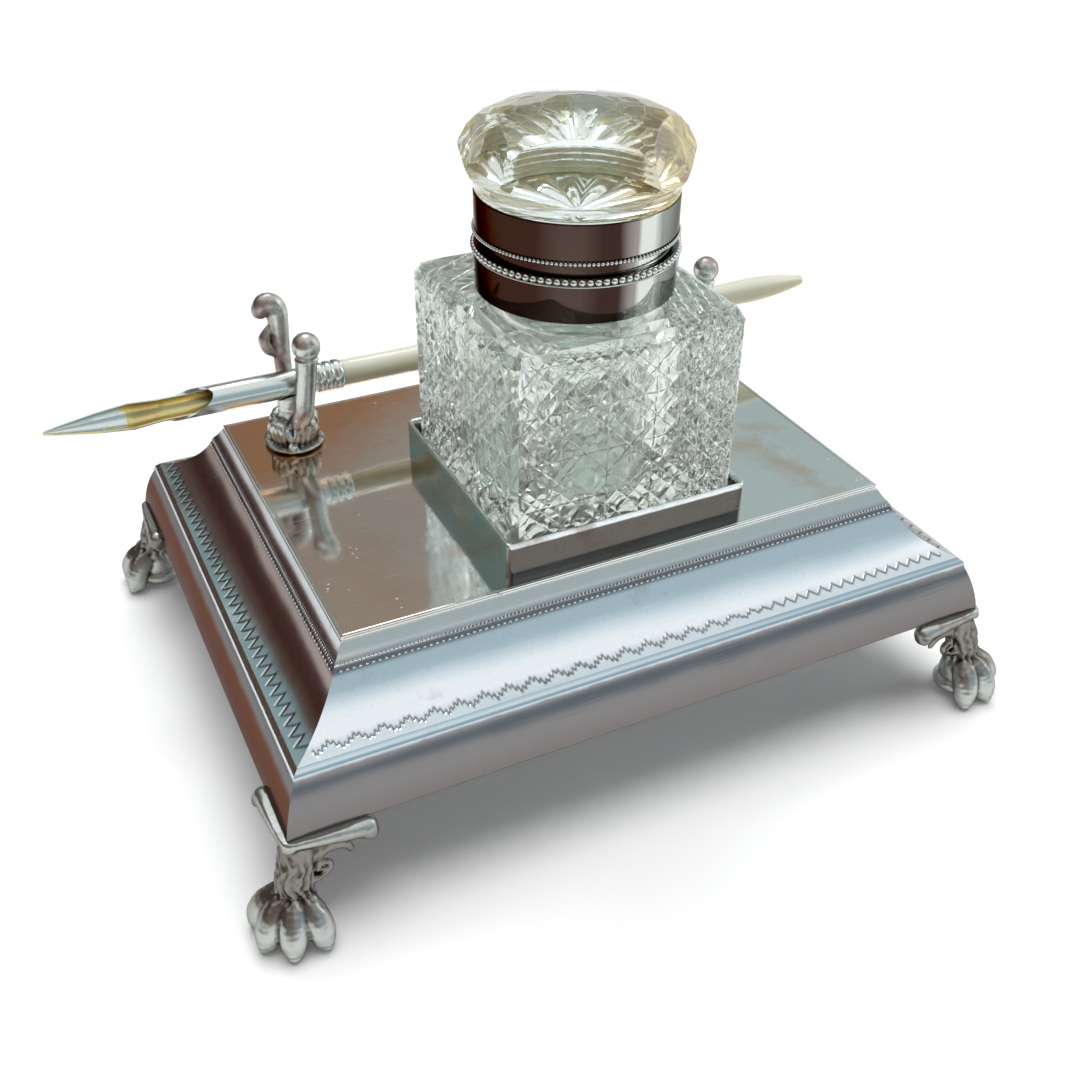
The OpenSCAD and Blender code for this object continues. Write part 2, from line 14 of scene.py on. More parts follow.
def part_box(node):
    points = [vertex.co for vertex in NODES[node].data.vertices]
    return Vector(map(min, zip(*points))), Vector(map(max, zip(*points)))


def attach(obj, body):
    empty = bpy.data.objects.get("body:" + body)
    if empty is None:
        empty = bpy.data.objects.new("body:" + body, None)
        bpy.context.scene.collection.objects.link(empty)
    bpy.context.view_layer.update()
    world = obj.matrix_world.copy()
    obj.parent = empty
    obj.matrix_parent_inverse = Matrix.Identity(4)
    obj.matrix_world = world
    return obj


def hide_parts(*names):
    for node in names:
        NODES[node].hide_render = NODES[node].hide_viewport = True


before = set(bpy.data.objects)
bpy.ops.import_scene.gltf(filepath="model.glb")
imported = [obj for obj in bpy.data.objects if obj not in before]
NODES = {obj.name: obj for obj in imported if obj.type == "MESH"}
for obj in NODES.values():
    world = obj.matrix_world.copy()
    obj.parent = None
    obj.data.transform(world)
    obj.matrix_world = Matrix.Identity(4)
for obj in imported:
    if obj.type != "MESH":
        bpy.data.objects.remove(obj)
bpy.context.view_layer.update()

bl_info = {
    "name": "Desk inkstand",
    "version": (1, 0, 0),
    "blender": (4, 5, 0),
    "location": "3D View > Sidebar > Inkstand",
    "description": "Builds the visible pieces of a desk inkstand round its packed frame",
    "category": "Add Mesh",
}

MM = 0.001
UP, LONG = (0.0, 0.0, 1.0), (1.0, 0.0, 0.0)
# The level direction that runs from left to right over the well as the camera sees it. Painted reflections on
# the bands and painted amber on the lid's glass are laid out along it.
ACROSS = (0.90, -0.44, 0.0)


def box_mm(node):
    """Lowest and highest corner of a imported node, in millimetres."""
    low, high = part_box(node)
    return low / MM, high / MM


def shift(x, y, z=0.0):
    return Matrix.Translation((x, y, z))


def heading(degrees):
    """The level direction at this angle from +X."""
    return Vector((math.cos(math.radians(degrees)), math.sin(math.radians(degrees)), 0))


PLATE_LOW, PLATE_HIGH = box_mm("top_plate")
SKIRT_LOW = box_mm("front_moulding")[0]
BOTTLE_LOW, BOTTLE_HIGH = box_mm("glass_bottle")
COLLAR_LOW, COLLAR_HIGH = box_mm("neck_collar")
GALLERY_LOW, GALLERY_HIGH = box_mm("gallery_frame")
BAND_LOW, BAND_HIGH = box_mm("lid_band")
DOME_LOW, DOME_HIGH = box_mm("lid_glass")
RING_LOW, RING_HIGH = box_mm("ferrule_ring")
PLATE_SIZE, PLATE_Z, SKIRT_Z = PLATE_HIGH - PLATE_LOW, PLATE_HIGH.z, SKIRT_LOW.z
STAND_AT = (PLATE_LOW + PLATE_HIGH) / 2
WELL_AT = (BOTTLE_LOW + BOTTLE_HIGH) / 2
STAND_PLACE, WELL_PLACE = shift(STAND_AT.x, STAND_AT.y), shift(WELL_AT.x, WELL_AT.y)
WELL_ACROSS = WELL_AT.x * ACROSS[0] + WELL_AT.y * ACROSS[1]
BOTTLE_HALF = (BOTTLE_HIGH.x - BOTTLE_LOW.x) / 2
COLLAR_R = (COLLAR_HIGH.x - COLLAR_LOW.x) / 2
BAND_WALL, CEMENT_WALL, CEMENT_SLACK = 0.8, 0.7, 0.08
MOUTH_R, STUD_R = 14.0, 1.5
CORNERS = ((1, -1), (1, 1), (-1, 1), (-1, -1))
PEN_Y = (RING_LOW.y + RING_HIGH.y) / 2
PEN_Z = (RING_LOW.z + RING_HIGH.z) / 2
PEN_X = box_mm("nib")[0].x


# --- Settings ---

def length(name, description, default, **more):
    return FloatProperty(name=name, description=description + ", in mm", default=default, **more)


def angle(name, description, degrees):
    return FloatProperty(name=name, description=description, subtype="ANGLE", default=math.radians(degrees))


def colour(name, description, default):
    return FloatVectorProperty(name=name, description=description, subtype="COLOR", size=4, min=0, max=1,
                               default=(*default, 1))


class StageSettings(bpy.types.PropertyGroup):
    """Camera, floor and lights."""
    lens: FloatProperty(name="Lens", description="Focal length of the camera", default=41.6, min=10,
                        unit="CAMERA")
    camera_at: FloatVectorProperty(name="Camera", description="Place of the camera", subtype="TRANSLATION",
                                   unit="LENGTH", default=(-0.11685, -0.24818, 0.22483))
    yaw: angle("Yaw", "Turn of the camera from +Y towards +X", 26.39)
    pitch: angle("Pitch", "Tilt of the camera above the level", -35.0)
    roll: angle("Roll", "Roll of the camera", 0.73)
    floor_colour: colour("Floor", "Colour of the floor", (0.93, 0.93, 0.93))
    sky: FloatProperty(name="Sky", description="Strength of the light from all round", default=0.21, min=0)
    overhead: FloatProperty(name="Overhead", description="Strength of the soft light from above", default=2.5,
                            min=0)
    floor_lift: FloatProperty(name="Floor lift", default=0.04, min=0,
                              description="How far the floor is lifted towards white where seen")


class SilverSettings(bpy.types.PropertyGroup):
    """Colours of the metals."""
    bright: colour("Bright", "Colour of polished silver", (0.80, 0.86, 0.885))
    tarnish: colour("Tarnish", "Colour of tarnish on silver", (0.36, 0.27, 0.24))
    # Dark colour for grime in the engraving and the cast hollows, and for painted shade behind the beads and
    # under the fascia.
    dirt_and_shade: colour("Dirt", "Colour of dirt in hollows", (0.06, 0.05, 0.045))
    gilt: colour("Gilt", "Colour of the gilding", (0.66, 0.56, 0.27))


class StandSettings(bpy.types.PropertyGroup):
    """Section of the moulding and its engraving."""
    fascia_run: length("Fascia run", "How far the fascia runs out", 2.6)
    fascia_drop: length("Fascia drop", "How far the fascia drops", 3.4)
    rim_run: length("Rim run", "Distance from the plate to the rim", 17.4)
    rim_up: length("Rim height", "Height of the rim above the skirt's edge", 13.0)
    cove_sag: length("Cove", "Depth of the cove", 2.1)
    sheet: length("Sheet", "Thickness of the sheet", 1.2)
    groove_depth: length("Groove depth", "Depth of the engraved line", 0.13)
    groove_width: length("Groove width", "Half width of the engraved line", 0.32)
    dot_pitch: length("Dot pitch", "Distance between the milled dots", 0.92)
    dash_pitch: length("Dash pitch", "Distance between the punched dashes", 1.45)


class CastSettings(bpy.types.PropertyGroup):
    """How finely the cast pieces are modelled."""
    voxel: length("Grain", "Size of the cast surface's cells", 0.3, min=0.1)
    toe_reach: length("Toe reach", "Reach of a toe from the ankle", 8.5)
    hair: length("Hair", "Depth of the hair on the ankle", 0.26)


class GlassSettings(bpy.types.PropertyGroup):
    """Cut glass."""
    bottle_tint: colour("Bottle tint", "Colour of the bottle's glass", (0.86, 0.915, 0.87))
    lid_tint: colour("Lid tint", "Colour of the lid's glass", (0.85, 0.94, 0.93))
    lattice: length("Lattice", "Distance between rows of the cutting", 11.5)
    mitre_depth: length("Mitre depth", "Depth of the long narrow cuts", 0.42)
    broad_depth: length("Broad depth", "Depth of the broad polished cuts", 0.32)
    button_r: length("Button", "Radius of a button's dish", 3.3)
    edge_line: length("Edge line", "Width of the ground line along the edges of the lid's facets", 0.12)
    side_facets: IntProperty(name="Side facets", description="Large facets round the lid", default=5, min=4)
    star_rays: IntProperty(name="Star rays", description="Rays of the star cut under the lid's glass",
                           default=16, min=4)
    star_depth: length("Star depth", "Depth of the star cut", 1.2)


class BandSettings(bpy.types.PropertyGroup):
    """Collar, lid band and their beading."""
    beads: IntProperty(name="Beads", description="Beads round the collar", default=84, min=12)
    fine_beads: IntProperty(name="Fine beads", description="Beads round the lid's band", default=150, min=12)
    hinge_room: length("Hinge room", "Width left free for the hinge", 16.0)


class InkstandSettings(bpy.types.PropertyGroup):
    """All the settings of the inkstand."""
    stage: PointerProperty(type=StageSettings)
    silver: PointerProperty(type=SilverSettings)
    stand: PointerProperty(type=StandSettings)
    cast: PointerProperty(type=CastSettings)
    glass: PointerProperty(type=GlassSettings)
    band: PointerProperty(type=BandSettings)


# --- Node trees ---

def feed(tree, node, inputs):
    """Sets or links inputs, given by name or number. A colour may leave out its alpha."""
    for key, value in inputs.items():
        socket = node.inputs[key]
        if isinstance(value, bpy.types.NodeSocket):
            tree.links.new(value, socket)
        else:
            socket.default_value = (*value, 1) if socket.type == "RGBA" and len(value) == 3 else value


def add(tree, kind, inputs=None, **props):
    """Adds a node with its properties and inputs."""
    node = tree.nodes.new(kind)
    for key, value in props.items():
        setattr(node, key, value)
    feed(tree, node, inputs or {})
    return node


def calc(tree, operation, a, b, clamp=False):
    return add(tree, "ShaderNodeMath", {0: a, 1: b}, operation=operation, use_clamp=clamp).outputs[0]


def mix_colour(tree, factor, a, b):
    return add(tree, "ShaderNodeMix", {0: factor, 6: a, 7: b}, data_type="RGBA").outputs[2]


def map_range(tree, value, low, high, to_low=0.0, to_high=1.0):
    return add(tree, "ShaderNodeMapRange", {0: value, 1: low, 2: high, 3: to_low, 4: to_high}).outputs[0]


def object_space(tree):
    return add(tree, "ShaderNodeTexCoord").outputs["Object"]


def grain(tree, at, scale, detail=2.0, **more):
    """Noise from 0 to 1, in cells per metre."""
    inputs = {"Vector": at, "Scale": scale, "Detail": detail, **more}
    return add(tree, "ShaderNodeTexNoise", inputs).outputs[0]


def stretch(tree, at, scale, **more):
    return add(tree, "ShaderNodeMapping", {"Vector": at, "Scale": scale, **more}).outputs[0]


def along(tree, at, way):
    return add(tree, "ShaderNodeVectorMath", {0: at, 1: way}, operation="DOT_PRODUCT").outputs["Value"]


def cavity_mask(tree):
    return add(tree, "ShaderNodeAttribute", attribute_name="cavity").outputs["Fac"]


def bump(tree, height, strength, distance):
    inputs = {"Height": height, "Strength": strength, "Distance": distance}
    return add(tree, "ShaderNodeBump", inputs).outputs[0]


def surface(name, build):
    """The material of this name, made once. build(tree) adds nodes and returns the shader's inputs."""
    if name not in bpy.data.materials:
        material = bpy.data.materials.new(name)
        material.use_nodes = True
        tree = material.node_tree
        feed(tree, tree.nodes["Principled BSDF"], build(tree))
    return bpy.data.materials[name]


def patina_group():
    """Tarnish in patches, pits, scratches and slow waves, as real plated sheet has them."""
    if "patina" in bpy.data.node_groups:
        return bpy.data.node_groups["patina"]
    tree = bpy.data.node_groups.new("patina", "ShaderNodeTree")
    for way, names in (("INPUT", ("Spread", "Patch Scale", "Pits", "Waves", "Gloss")),
                       ("OUTPUT", ("Tarnish", "Roughness", "Height"))):
        for name in names:
            tree.interface.new_socket(name=name, in_out=way, socket_type="NodeSocketFloat")
    into, out = tree.nodes.new("NodeGroupInput").outputs, tree.nodes.new("NodeGroupOutput")
    at = object_space(tree)
    # Tarnish in patches, and small specks.
    edge = calc(tree, "SUBTRACT", 1.0, into["Spread"])
    patches = grain(tree, at, into["Patch Scale"], 5.0, Roughness=0.6)
    tarnish = map_range(tree, patches, edge, calc(tree, "ADD", edge, 0.15))
    speck = map_range(tree, grain(tree, at, 900.0, 3.0), 0.56, 0.74)
    speck = calc(tree, "MULTIPLY", speck, calc(tree, "MULTIPLY", into["Pits"], 0.35))
    mask = calc(tree, "MAXIMUM", tarnish, speck, clamp=True)

    # A few pits, fine scratches and slow waves.
    cells = add(tree, "ShaderNodeTexVoronoi", {"Vector": at, "Scale": 520.0}).outputs["Distance"]
    pit = map_range(tree, cells, 0.05, 0.22, 1.0, 0.0)
    few = map_range(tree, grain(tree, at, 150.0), 0.52, 0.66)
    pit = calc(tree, "MULTIPLY", calc(tree, "MULTIPLY", pit, few), into["Pits"])
    lines = stretch(tree, at, (60.0, 1400.0, 1400.0), Rotation=(0.0, 0.3, 0.5))
    scratch = map_range(tree, grain(tree, lines, 1.0), 0.62, 0.72)
    height = calc(tree, "MULTIPLY", grain(tree, at, 34.0, 1.0), into["Waves"])
    height = calc(tree, "SUBTRACT", height, calc(tree, "MULTIPLY", pit, 0.05))
    height = calc(tree, "SUBTRACT", height, calc(tree, "MULTIPLY", scratch, 0.004))
    rough = calc(tree, "ADD", into["Gloss"], calc(tree, "MULTIPLY", mask, 0.12))
    rough = calc(tree, "ADD", rough, calc(tree, "MULTIPLY", scratch, 0.08), clamp=True)
    feed(tree, out, {"Tarnish": mask, "Roughness": rough, "Height": height})
    return tree


def metal(name, colour, tarnish, spread, scale, pits, waves, gloss, edge=1.0, stains_and_painted_light=(), ragged=2.5):
    """Metal with patina. edge is how bright it is at a glancing angle. Each entry of the stain list is a
    colour, a direction, the start and end, in mm along it, of its fade, and its strength; some entries are
    real stains, the others are painted reflections and painted shade. ragged is how uneven its border is, in
    mm."""
    def build(tree):
        group = add(tree, "ShaderNodeGroup", node_tree=patina_group())
        feed(tree, group, {"Spread": spread, "Patch Scale": scale, "Pits": pits, "Waves": waves,
                           "Gloss": gloss})
        base = mix_colour(tree, group.outputs["Tarnish"], colour, tarnish)
        at = object_space(tree)
        streaks = grain(tree, stretch(tree, at, (260.0, 260.0, 30.0)), 1.0, 3.0)
        uneven = calc(tree, "MULTIPLY", calc(tree, "SUBTRACT", streaks, 0.5), ragged * MM)
        # Each stain is laid on as colour. Some are real stains, and the others are painted reflections and
        # painted shade.
        for shade, way, start, end, amount in stains_and_painted_light:
            reach = calc(tree, "ADD", along(tree, at, way), uneven)
            base = mix_colour(tree, map_range(tree, reach, start * MM, end * MM, amount, 0.0), base, shade)
        # Darkens marked places: grime in the engraving and the cast hollows, and painted shade behind the
        # beads and along the quirk under the fascia.
        base = mix_colour(tree, cavity_mask(tree), base, bpy.context.scene.inkstand.silver.dirt_and_shade)
        return {"Base Color": base, "Roughness": group.outputs["Roughness"], "Metallic": 1.0,
                "Specular Tint": (edge, edge * 0.95, edge * 0.92),
                "Normal": bump(tree, group.outputs["Height"], 1.0, 0.0012)}
    return surface(name, build)


def silver(kind):
    """Silver in the finishes that the pieces have, several of them with painted reflections and painted shade
    laid on as colour.
    """
    tone, stand = bpy.context.scene.inkstand.silver, bpy.context.scene.inkstand.stand
    rim = SKIRT_Z + stand.rim_up
    corner = 0.7 * (SKIRT_LOW.x + rim)
    line = PLATE_LOW.z - stand.fascia_drop
    gallery_top, gallery_left, plate_left = GALLERY_HIGH.z, GALLERY_LOW.x, PLATE_LOW.x
    # Painted dark reflection on the skirts below the rim.
    skirt = ((0.195, 0.182, 0.182), UP, rim - 0.9, rim - 0.1, 0.9)
    finishes_and_painted_light = {
        "plate": dict(
            colour=(0.78, 0.82, 0.83), tarnish=(0.68, 0.50, 0.37), spread=0.45, scale=30.0, pits=0.7,
            waves=0.3, gloss=0.08, ragged=14.0,
            # Orange-brown to the back left and a warm pale tone to the left: partly tarnish, partly painted
            # reflection.
            stains_and_painted_light=(((0.74, 0.40, 0.19), (0.55, -0.83, 0.0), -52, -30, 0.8),
                    ((0.78, 0.66, 0.56), (0.9, 0.44, 0.0), -62, -46, 0.5))),
        "moulding": dict(
            spread=0.34, scale=30.0, pits=0.2, waves=0.6, gloss=0.18, edge=0.4, ragged=0.8,
            # Painted reflections: the lower cove blue-grey, and the skirt dark and darker still towards its
            # foot. The fascia strip above the milled line gets a warmer, duller tone.
            stains_and_painted_light=(((0.52, 0.62, 0.68), UP, rim + 2.2, rim + 3.0, 0.7), skirt,
                    ((0.190, 0.166, 0.158), UP, SKIRT_Z + 1, SKIRT_Z + 9, 0.75),
                    ((0.78, 0.73, 0.65), (0.0, 0.0, -1.0), -line - 0.5, -line + 0.1, 0.75))),
        "moulding_end": dict(
            spread=0.40, scale=30.0, pits=0.3, waves=0.6, gloss=0.18, edge=0.4, ragged=1.2,
            # Painted reflections on the left moulding: dark mauve, grey and blue-white bands down the cove,
            # the dark skirt, and a red-brown skirt on that side.
            stains_and_painted_light=(((0.27, 0.18, 0.155), LONG, plate_left - 3, plate_left, 0.8),
                    ((0.45, 0.37, 0.34), LONG, plate_left - 7, plate_left - 4, 0.8),
                    ((0.82, 0.97, 1.00), LONG, plate_left - 11, plate_left - 8, 0.9), skirt,
                    ((0.21, 0.095, 0.070), (0.7, 0.0, 0.7), corner - 1.5, corner + 0.2, 0.9))),
        "gallery": dict(
            spread=0.46, scale=55.0, pits=0.9, waves=0.4, gloss=0.15, edge=0.7, ragged=0.4,
            # The wall is dark brown, nearly black, below its rolled top. The left wall's paler, greener tone
            # is a painted reflection.
            stains_and_painted_light=(((0.080, 0.064, 0.048), UP, gallery_top - 1.4, gallery_top - 1.0, 0.93),
                    ((0.66, 0.70, 0.62), LONG, gallery_left + 0.3, gallery_left + 0.9, 0.8))),
        "band": dict(
            spread=0.30, scale=38.0, pits=0.3, waves=0.1, gloss=0.07, edge=0.35,
            # Painted reflections: upright light and dark stripes on the collar, the lid's band and the hinge
            # leaves, set across the well as the camera sees it.
            stains_and_painted_light=[(shade, ACROSS, WELL_ACROSS + start, WELL_ACROSS + end, amount)
                    for shade, start, end, amount in (
                        ((0.24, 0.26, 0.235), 60, 70, 0.9), ((0.74, 0.77, 0.73), 16, 17.5, 0.85),
                        ((0.25, 0.22, 0.20), 12, 13, 0.9), ((0.036, 0.017, 0.011), 8.5, 11.5, 0.97),
                        ((0.085, 0.058, 0.046), 0.5, 5, 0.9), ((0.040, 0.016, 0.010), -9, -4, 0.95),
                        ((0.30, 0.10, 0.04), -22.2, -21.2, 0.8))]),
        "bead": dict(colour=(0.66, 0.69, 0.66), spread=0.36, scale=120.0, pits=0.2, waves=0.0, gloss=0.15,
                     edge=0.4),
        "milled": dict(colour=(0.80, 0.84, 0.86), spread=0.30, scale=120.0, pits=0.1, waves=0.0, gloss=0.2),
        "cast": dict(
            colour=(0.64, 0.68, 0.65), spread=0.48, scale=90.0, pits=0.9, waves=0.3, gloss=0.31, edge=0.4,
            ragged=2.0,
            # Painted shade under the skirt: the legs and the lower leaves darkened, and the toes light again.
            stains_and_painted_light=(((0.19, 0.17, 0.145), UP, 24, 28, 0.85), ((0.60, 0.64, 0.61), UP, 8, 12, 0.8))),
        "pen": dict(colour=(0.66, 0.72, 0.69), spread=0.30, scale=60.0, pits=0.3, waves=0.1, gloss=0.22,
                    edge=0.5),
    }
    return metal("plated_" + kind, **{"colour": tone.bright, "tarnish": tone.tarnish, **finishes_and_painted_light[kind]})


def gilding():
    return metal("gilding", bpy.context.scene.inkstand.silver.gilt, (0.42, 0.31, 0.13), spread=0.36,
                 scale=140.0, pits=0.7, waves=0.2, gloss=0.3)


def steel():
    return metal("steel", (0.42, 0.41, 0.39), (0.17, 0.12, 0.09), spread=0.52, scale=220.0, pits=0.8,
                 waves=0.1, gloss=0.34)


def cement():
    """Old yellowed plaster and resin behind the glass."""
    def build(tree):
        sand = grain(tree, object_space(tree), 260.0, 4.0)
        tone = mix_colour(tree, map_range(tree, sand, 0.35, 0.65), (0.62, 0.50, 0.28), (0.84, 0.77, 0.56))
        return {"Base Color": tone, "Roughness": map_range(tree, sand, 0.3, 0.7, 0.5, 0.75),
                "Normal": bump(tree, sand, 0.4, 0.0002)}
    return surface("old_cement", build)


def glass(name, tint, haze, clear, painted_amber=()):
    """Clear old lead glass with faint waves left by polishing. clear is the share of light that goes
    through. The last argument lists stretches across the glass, as the camera sees it, that get a painted
    amber reflection:
    start and end of the fade, in mm, and its strength at the end."""
    def build(tree):
        at, ground = object_space(tree), cavity_mask(tree)
        cloud = grain(tree, at, 70.0, 3.0)
        body = mix_colour(tree, cloud, tint, [min(1.0, c * 1.02) for c in tint[:3]])
        # Painted amber reflection on the listed stretches across the glass.
        for start, end, amount in painted_amber:
            share = map_range(tree, along(tree, at, ACROSS), start * MM, end * MM, 0.0, amount)
            body = mix_colour(tree, share, body, (0.62, 0.44, 0.11))
        rough = calc(tree, "ADD", map_range(tree, cloud, 0.35, 0.7, 0.0, haze),
                     calc(tree, "MULTIPLY", ground, 0.45), clamp=True)
        return {"Base Color": mix_colour(tree, ground, body, (0.96, 0.98, 0.96)), "Roughness": rough,
                "Metallic": 0.0, "IOR": 1.5, "Transmission Weight": clear,
                "Normal": bump(tree, grain(tree, at, 240.0, 1.0), 0.5, 0.00006)}
    return surface(name, build)


def pearl():
    """Mother of pearl, in slow cream bands along the handle, with a painted blue-white sheen on its upper
    side.
    """
    def build(tree):
        at = object_space(tree)
        bands = grain(tree, stretch(tree, at, (14.0, 190.0, 190.0)), 1.0, 4.0, Distortion=0.8)
        cream = mix_colour(tree, map_range(tree, bands, 0.35, 0.65), (0.60, 0.54, 0.31), (0.71, 0.67, 0.47))
        # Painted sheen: the upper side of the handle turns blue-white, as if lit from above.
        painted_sheen = map_range(tree, along(tree, at, UP), (PEN_Z - 0.4) * MM, (PEN_Z + 2.4) * MM, 0.0, 0.6)
        return {"Base Color": mix_colour(tree, painted_sheen, cream, (0.72, 0.76, 0.70)),
                "Roughness": map_range(tree, bands, 0.3, 0.7, 0.16, 0.30), "Subsurface Weight": 0.25,
                "Subsurface Radius": (0.002, 0.0016, 0.001), "Coat Weight": 0.5, "Coat Roughness": 0.12,
                "Normal": bump(tree, bands, 0.25, 0.0003)}
    return surface("mother_of_pearl", build)


# --- Meshes ---

def arc(p, q, sag, steps):
    """Points on a circular arc from p to q that bows by sag to the left of the way."""
    p, q = np.array(p, float), np.array(q, float)
    chord = np.linalg.norm(q - p)
    radius = chord * chord / (8 * sag) + sag / 2
    along = (q - p) / chord
    centre = (p + q) / 2 + np.array([-along[1], along[0]]) * (sag - radius)
    start = math.atan2(p[1] - centre[1], p[0] - centre[0])
    turn = (math.atan2(q[1] - centre[1], q[0] - centre[0]) - start + math.pi) % math.tau - math.pi
    angles = start + turn * np.linspace(0, 1, steps + 1)
    return [tuple(centre + abs(radius) * np.array([math.cos(a), math.sin(a)])) for a in angles]


def grid_mesh(points, closed_rows=False, closed_columns=False, caps=False):
    """A mesh over an array of points [rows, columns, 3]. caps closes the first and last row with one face."""
    rows, columns = points.shape[:2]
    number = np.arange(rows * columns).reshape(rows, columns)
    if closed_rows:
        number = np.vstack([number, number[:1]])
    if closed_columns:
        number = np.hstack([number, number[:, :1]])
    quads = np.stack([number[:-1, :-1], number[:-1, 1:], number[1:, 1:], number[1:, :-1]], -1).reshape(-1, 4)
    faces = quads.tolist()
    if caps:
        faces += [list(range(columns))[::-1], list(range((rows - 1) * columns, rows * columns))]
    mesh = bpy.data.meshes.new("grid")
    mesh.from_pydata(points.reshape(-1, 3).tolist(), [], faces)
    return mesh


def lathe(profile, segments):
    """Turns a closed profile of (radius, height) about the Z axis."""
    profile = np.array(profile, float)
    turn = np.linspace(0, math.tau, segments, endpoint=False)
    points = np.stack([np.outer(np.cos(turn), profile[:, 0]), np.outer(np.sin(turn), profile[:, 0]),
                       np.tile(profile[:, 1], (segments, 1))], -1)
    return grid_mesh(points, closed_rows=True, closed_columns=True)


def rounded(corners, radius, steps=3):
    """A closed outline of (x, y) corners, each rounded off by an arc."""
    points = []
    count = len(corners)
    for i in range(count):
        before, here, after = (Vector(corners[(i + k) % count]) for k in (-1, 0, 1))
        r = min(radius, (before - here).length * 0.45, (after - here).length * 0.45)
        start, end = here + (before - here).normalized() * r, here + (after - here).normalized() * r
        for step in range(steps + 1):
            t = step / steps
            points.append(tuple(start * (1 - t) ** 2 + here * 2 * t * (1 - t) + end * t * t))
    return points


def clean(mesh, merge=1e-4):
    """Merges doubles, unless merge is 0, and points every face outward."""
    bm = bmesh.new()
    bm.from_mesh(mesh)
    if merge:
        bmesh.ops.remove_doubles(bm, verts=bm.verts, dist=merge)
    bmesh.ops.recalc_face_normals(bm, faces=bm.faces)
    bm.to_mesh(mesh)
    bm.free()
    return mesh


def joined(meshes):
    """One mesh out of several."""
    bm = bmesh.new()
    for mesh in meshes:
        bm.from_mesh(mesh)
    result = bpy.data.meshes.new("joined")
    bm.to_mesh(result)
    bm.free()
    return result


def moved(mesh, matrix):
    mesh.transform(matrix)
    if matrix.determinant() < 0:
        mesh.flip_normals()
    return mesh


def evaluated(mesh, modify):
    """The mesh after the modifiers that modify(holder) gives to the object that holds it."""
    holder = bpy.data.objects.new("holder", mesh)
    bpy.context.scene.collection.objects.link(holder)
    modify(holder)
    bpy.context.view_layer.update()
    result = bpy.data.meshes.new_from_object(holder.evaluated_get(bpy.context.evaluated_depsgraph_get()))
    bpy.data.objects.remove(holder)
    return result


def applied(mesh, *modifiers):
    """The mesh after the modifiers, each given as its type and its settings."""
    def modify(holder):
        for kind, settings in modifiers:
            modifier = holder.modifiers.new(kind, kind)
            for key, value in settings.items():
                setattr(modifier, key, value)
    return evaluated(mesh, modify)


def finish_piece(name, mesh, material, body, replaced=(), sharp=None, cavity=None):
    """Scales a mesh in millimetres to metres and makes it a piece that rides on a body. Edges are sharp from
    this angle on, in degrees. cavity is how dark, for grime and for painted shade, or how rough, each vertex
    or face is."""
    mesh.transform(Matrix.Scale(MM, 4))
    mesh.name = name
    mesh.polygons.foreach_set("use_smooth", [True] * len(mesh.polygons))
    if sharp:
        mesh.set_sharp_from_angle(angle=math.radians(sharp))
    mesh.materials.clear()
    mesh.materials.append(material)
    if cavity is not None:
        domain = "POINT" if len(cavity) == len(mesh.vertices) else "FACE"
        mesh.attributes.new("cavity", "FLOAT", domain).data.foreach_set("value", cavity.astype(np.float32))
    piece = bpy.data.objects.new(name, mesh)
    bpy.context.scene.collection.objects.link(piece)
    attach(piece, body)
    if replaced:
        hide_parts(*replaced)
    return piece


def paint(material, *names):
    """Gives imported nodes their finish."""
    for name in names:
        mesh = NODES[name].data
        mesh.materials.clear()
        mesh.materials.append(material)


# --- Stand ---

def wriggle(t, side):
    """Height of the engraved line across its band, for a distance t along the side, in mm. It is even on the
    left and right sides, and loose on most of the front and the back."""
    def zigzag(period):
        return 4 * np.abs((t / period) % 1 - 0.5) - 1
    if side % 2:
        return 1.25 * zigzag(3.5)
    even = np.clip((t - 18) / 14, 0, 1)
    loose = 0.85 * zigzag(5.8) + 0.42 * zigzag(1.13)
    return (1 - even) * loose + even * 0.8 * zigzag(3.4)


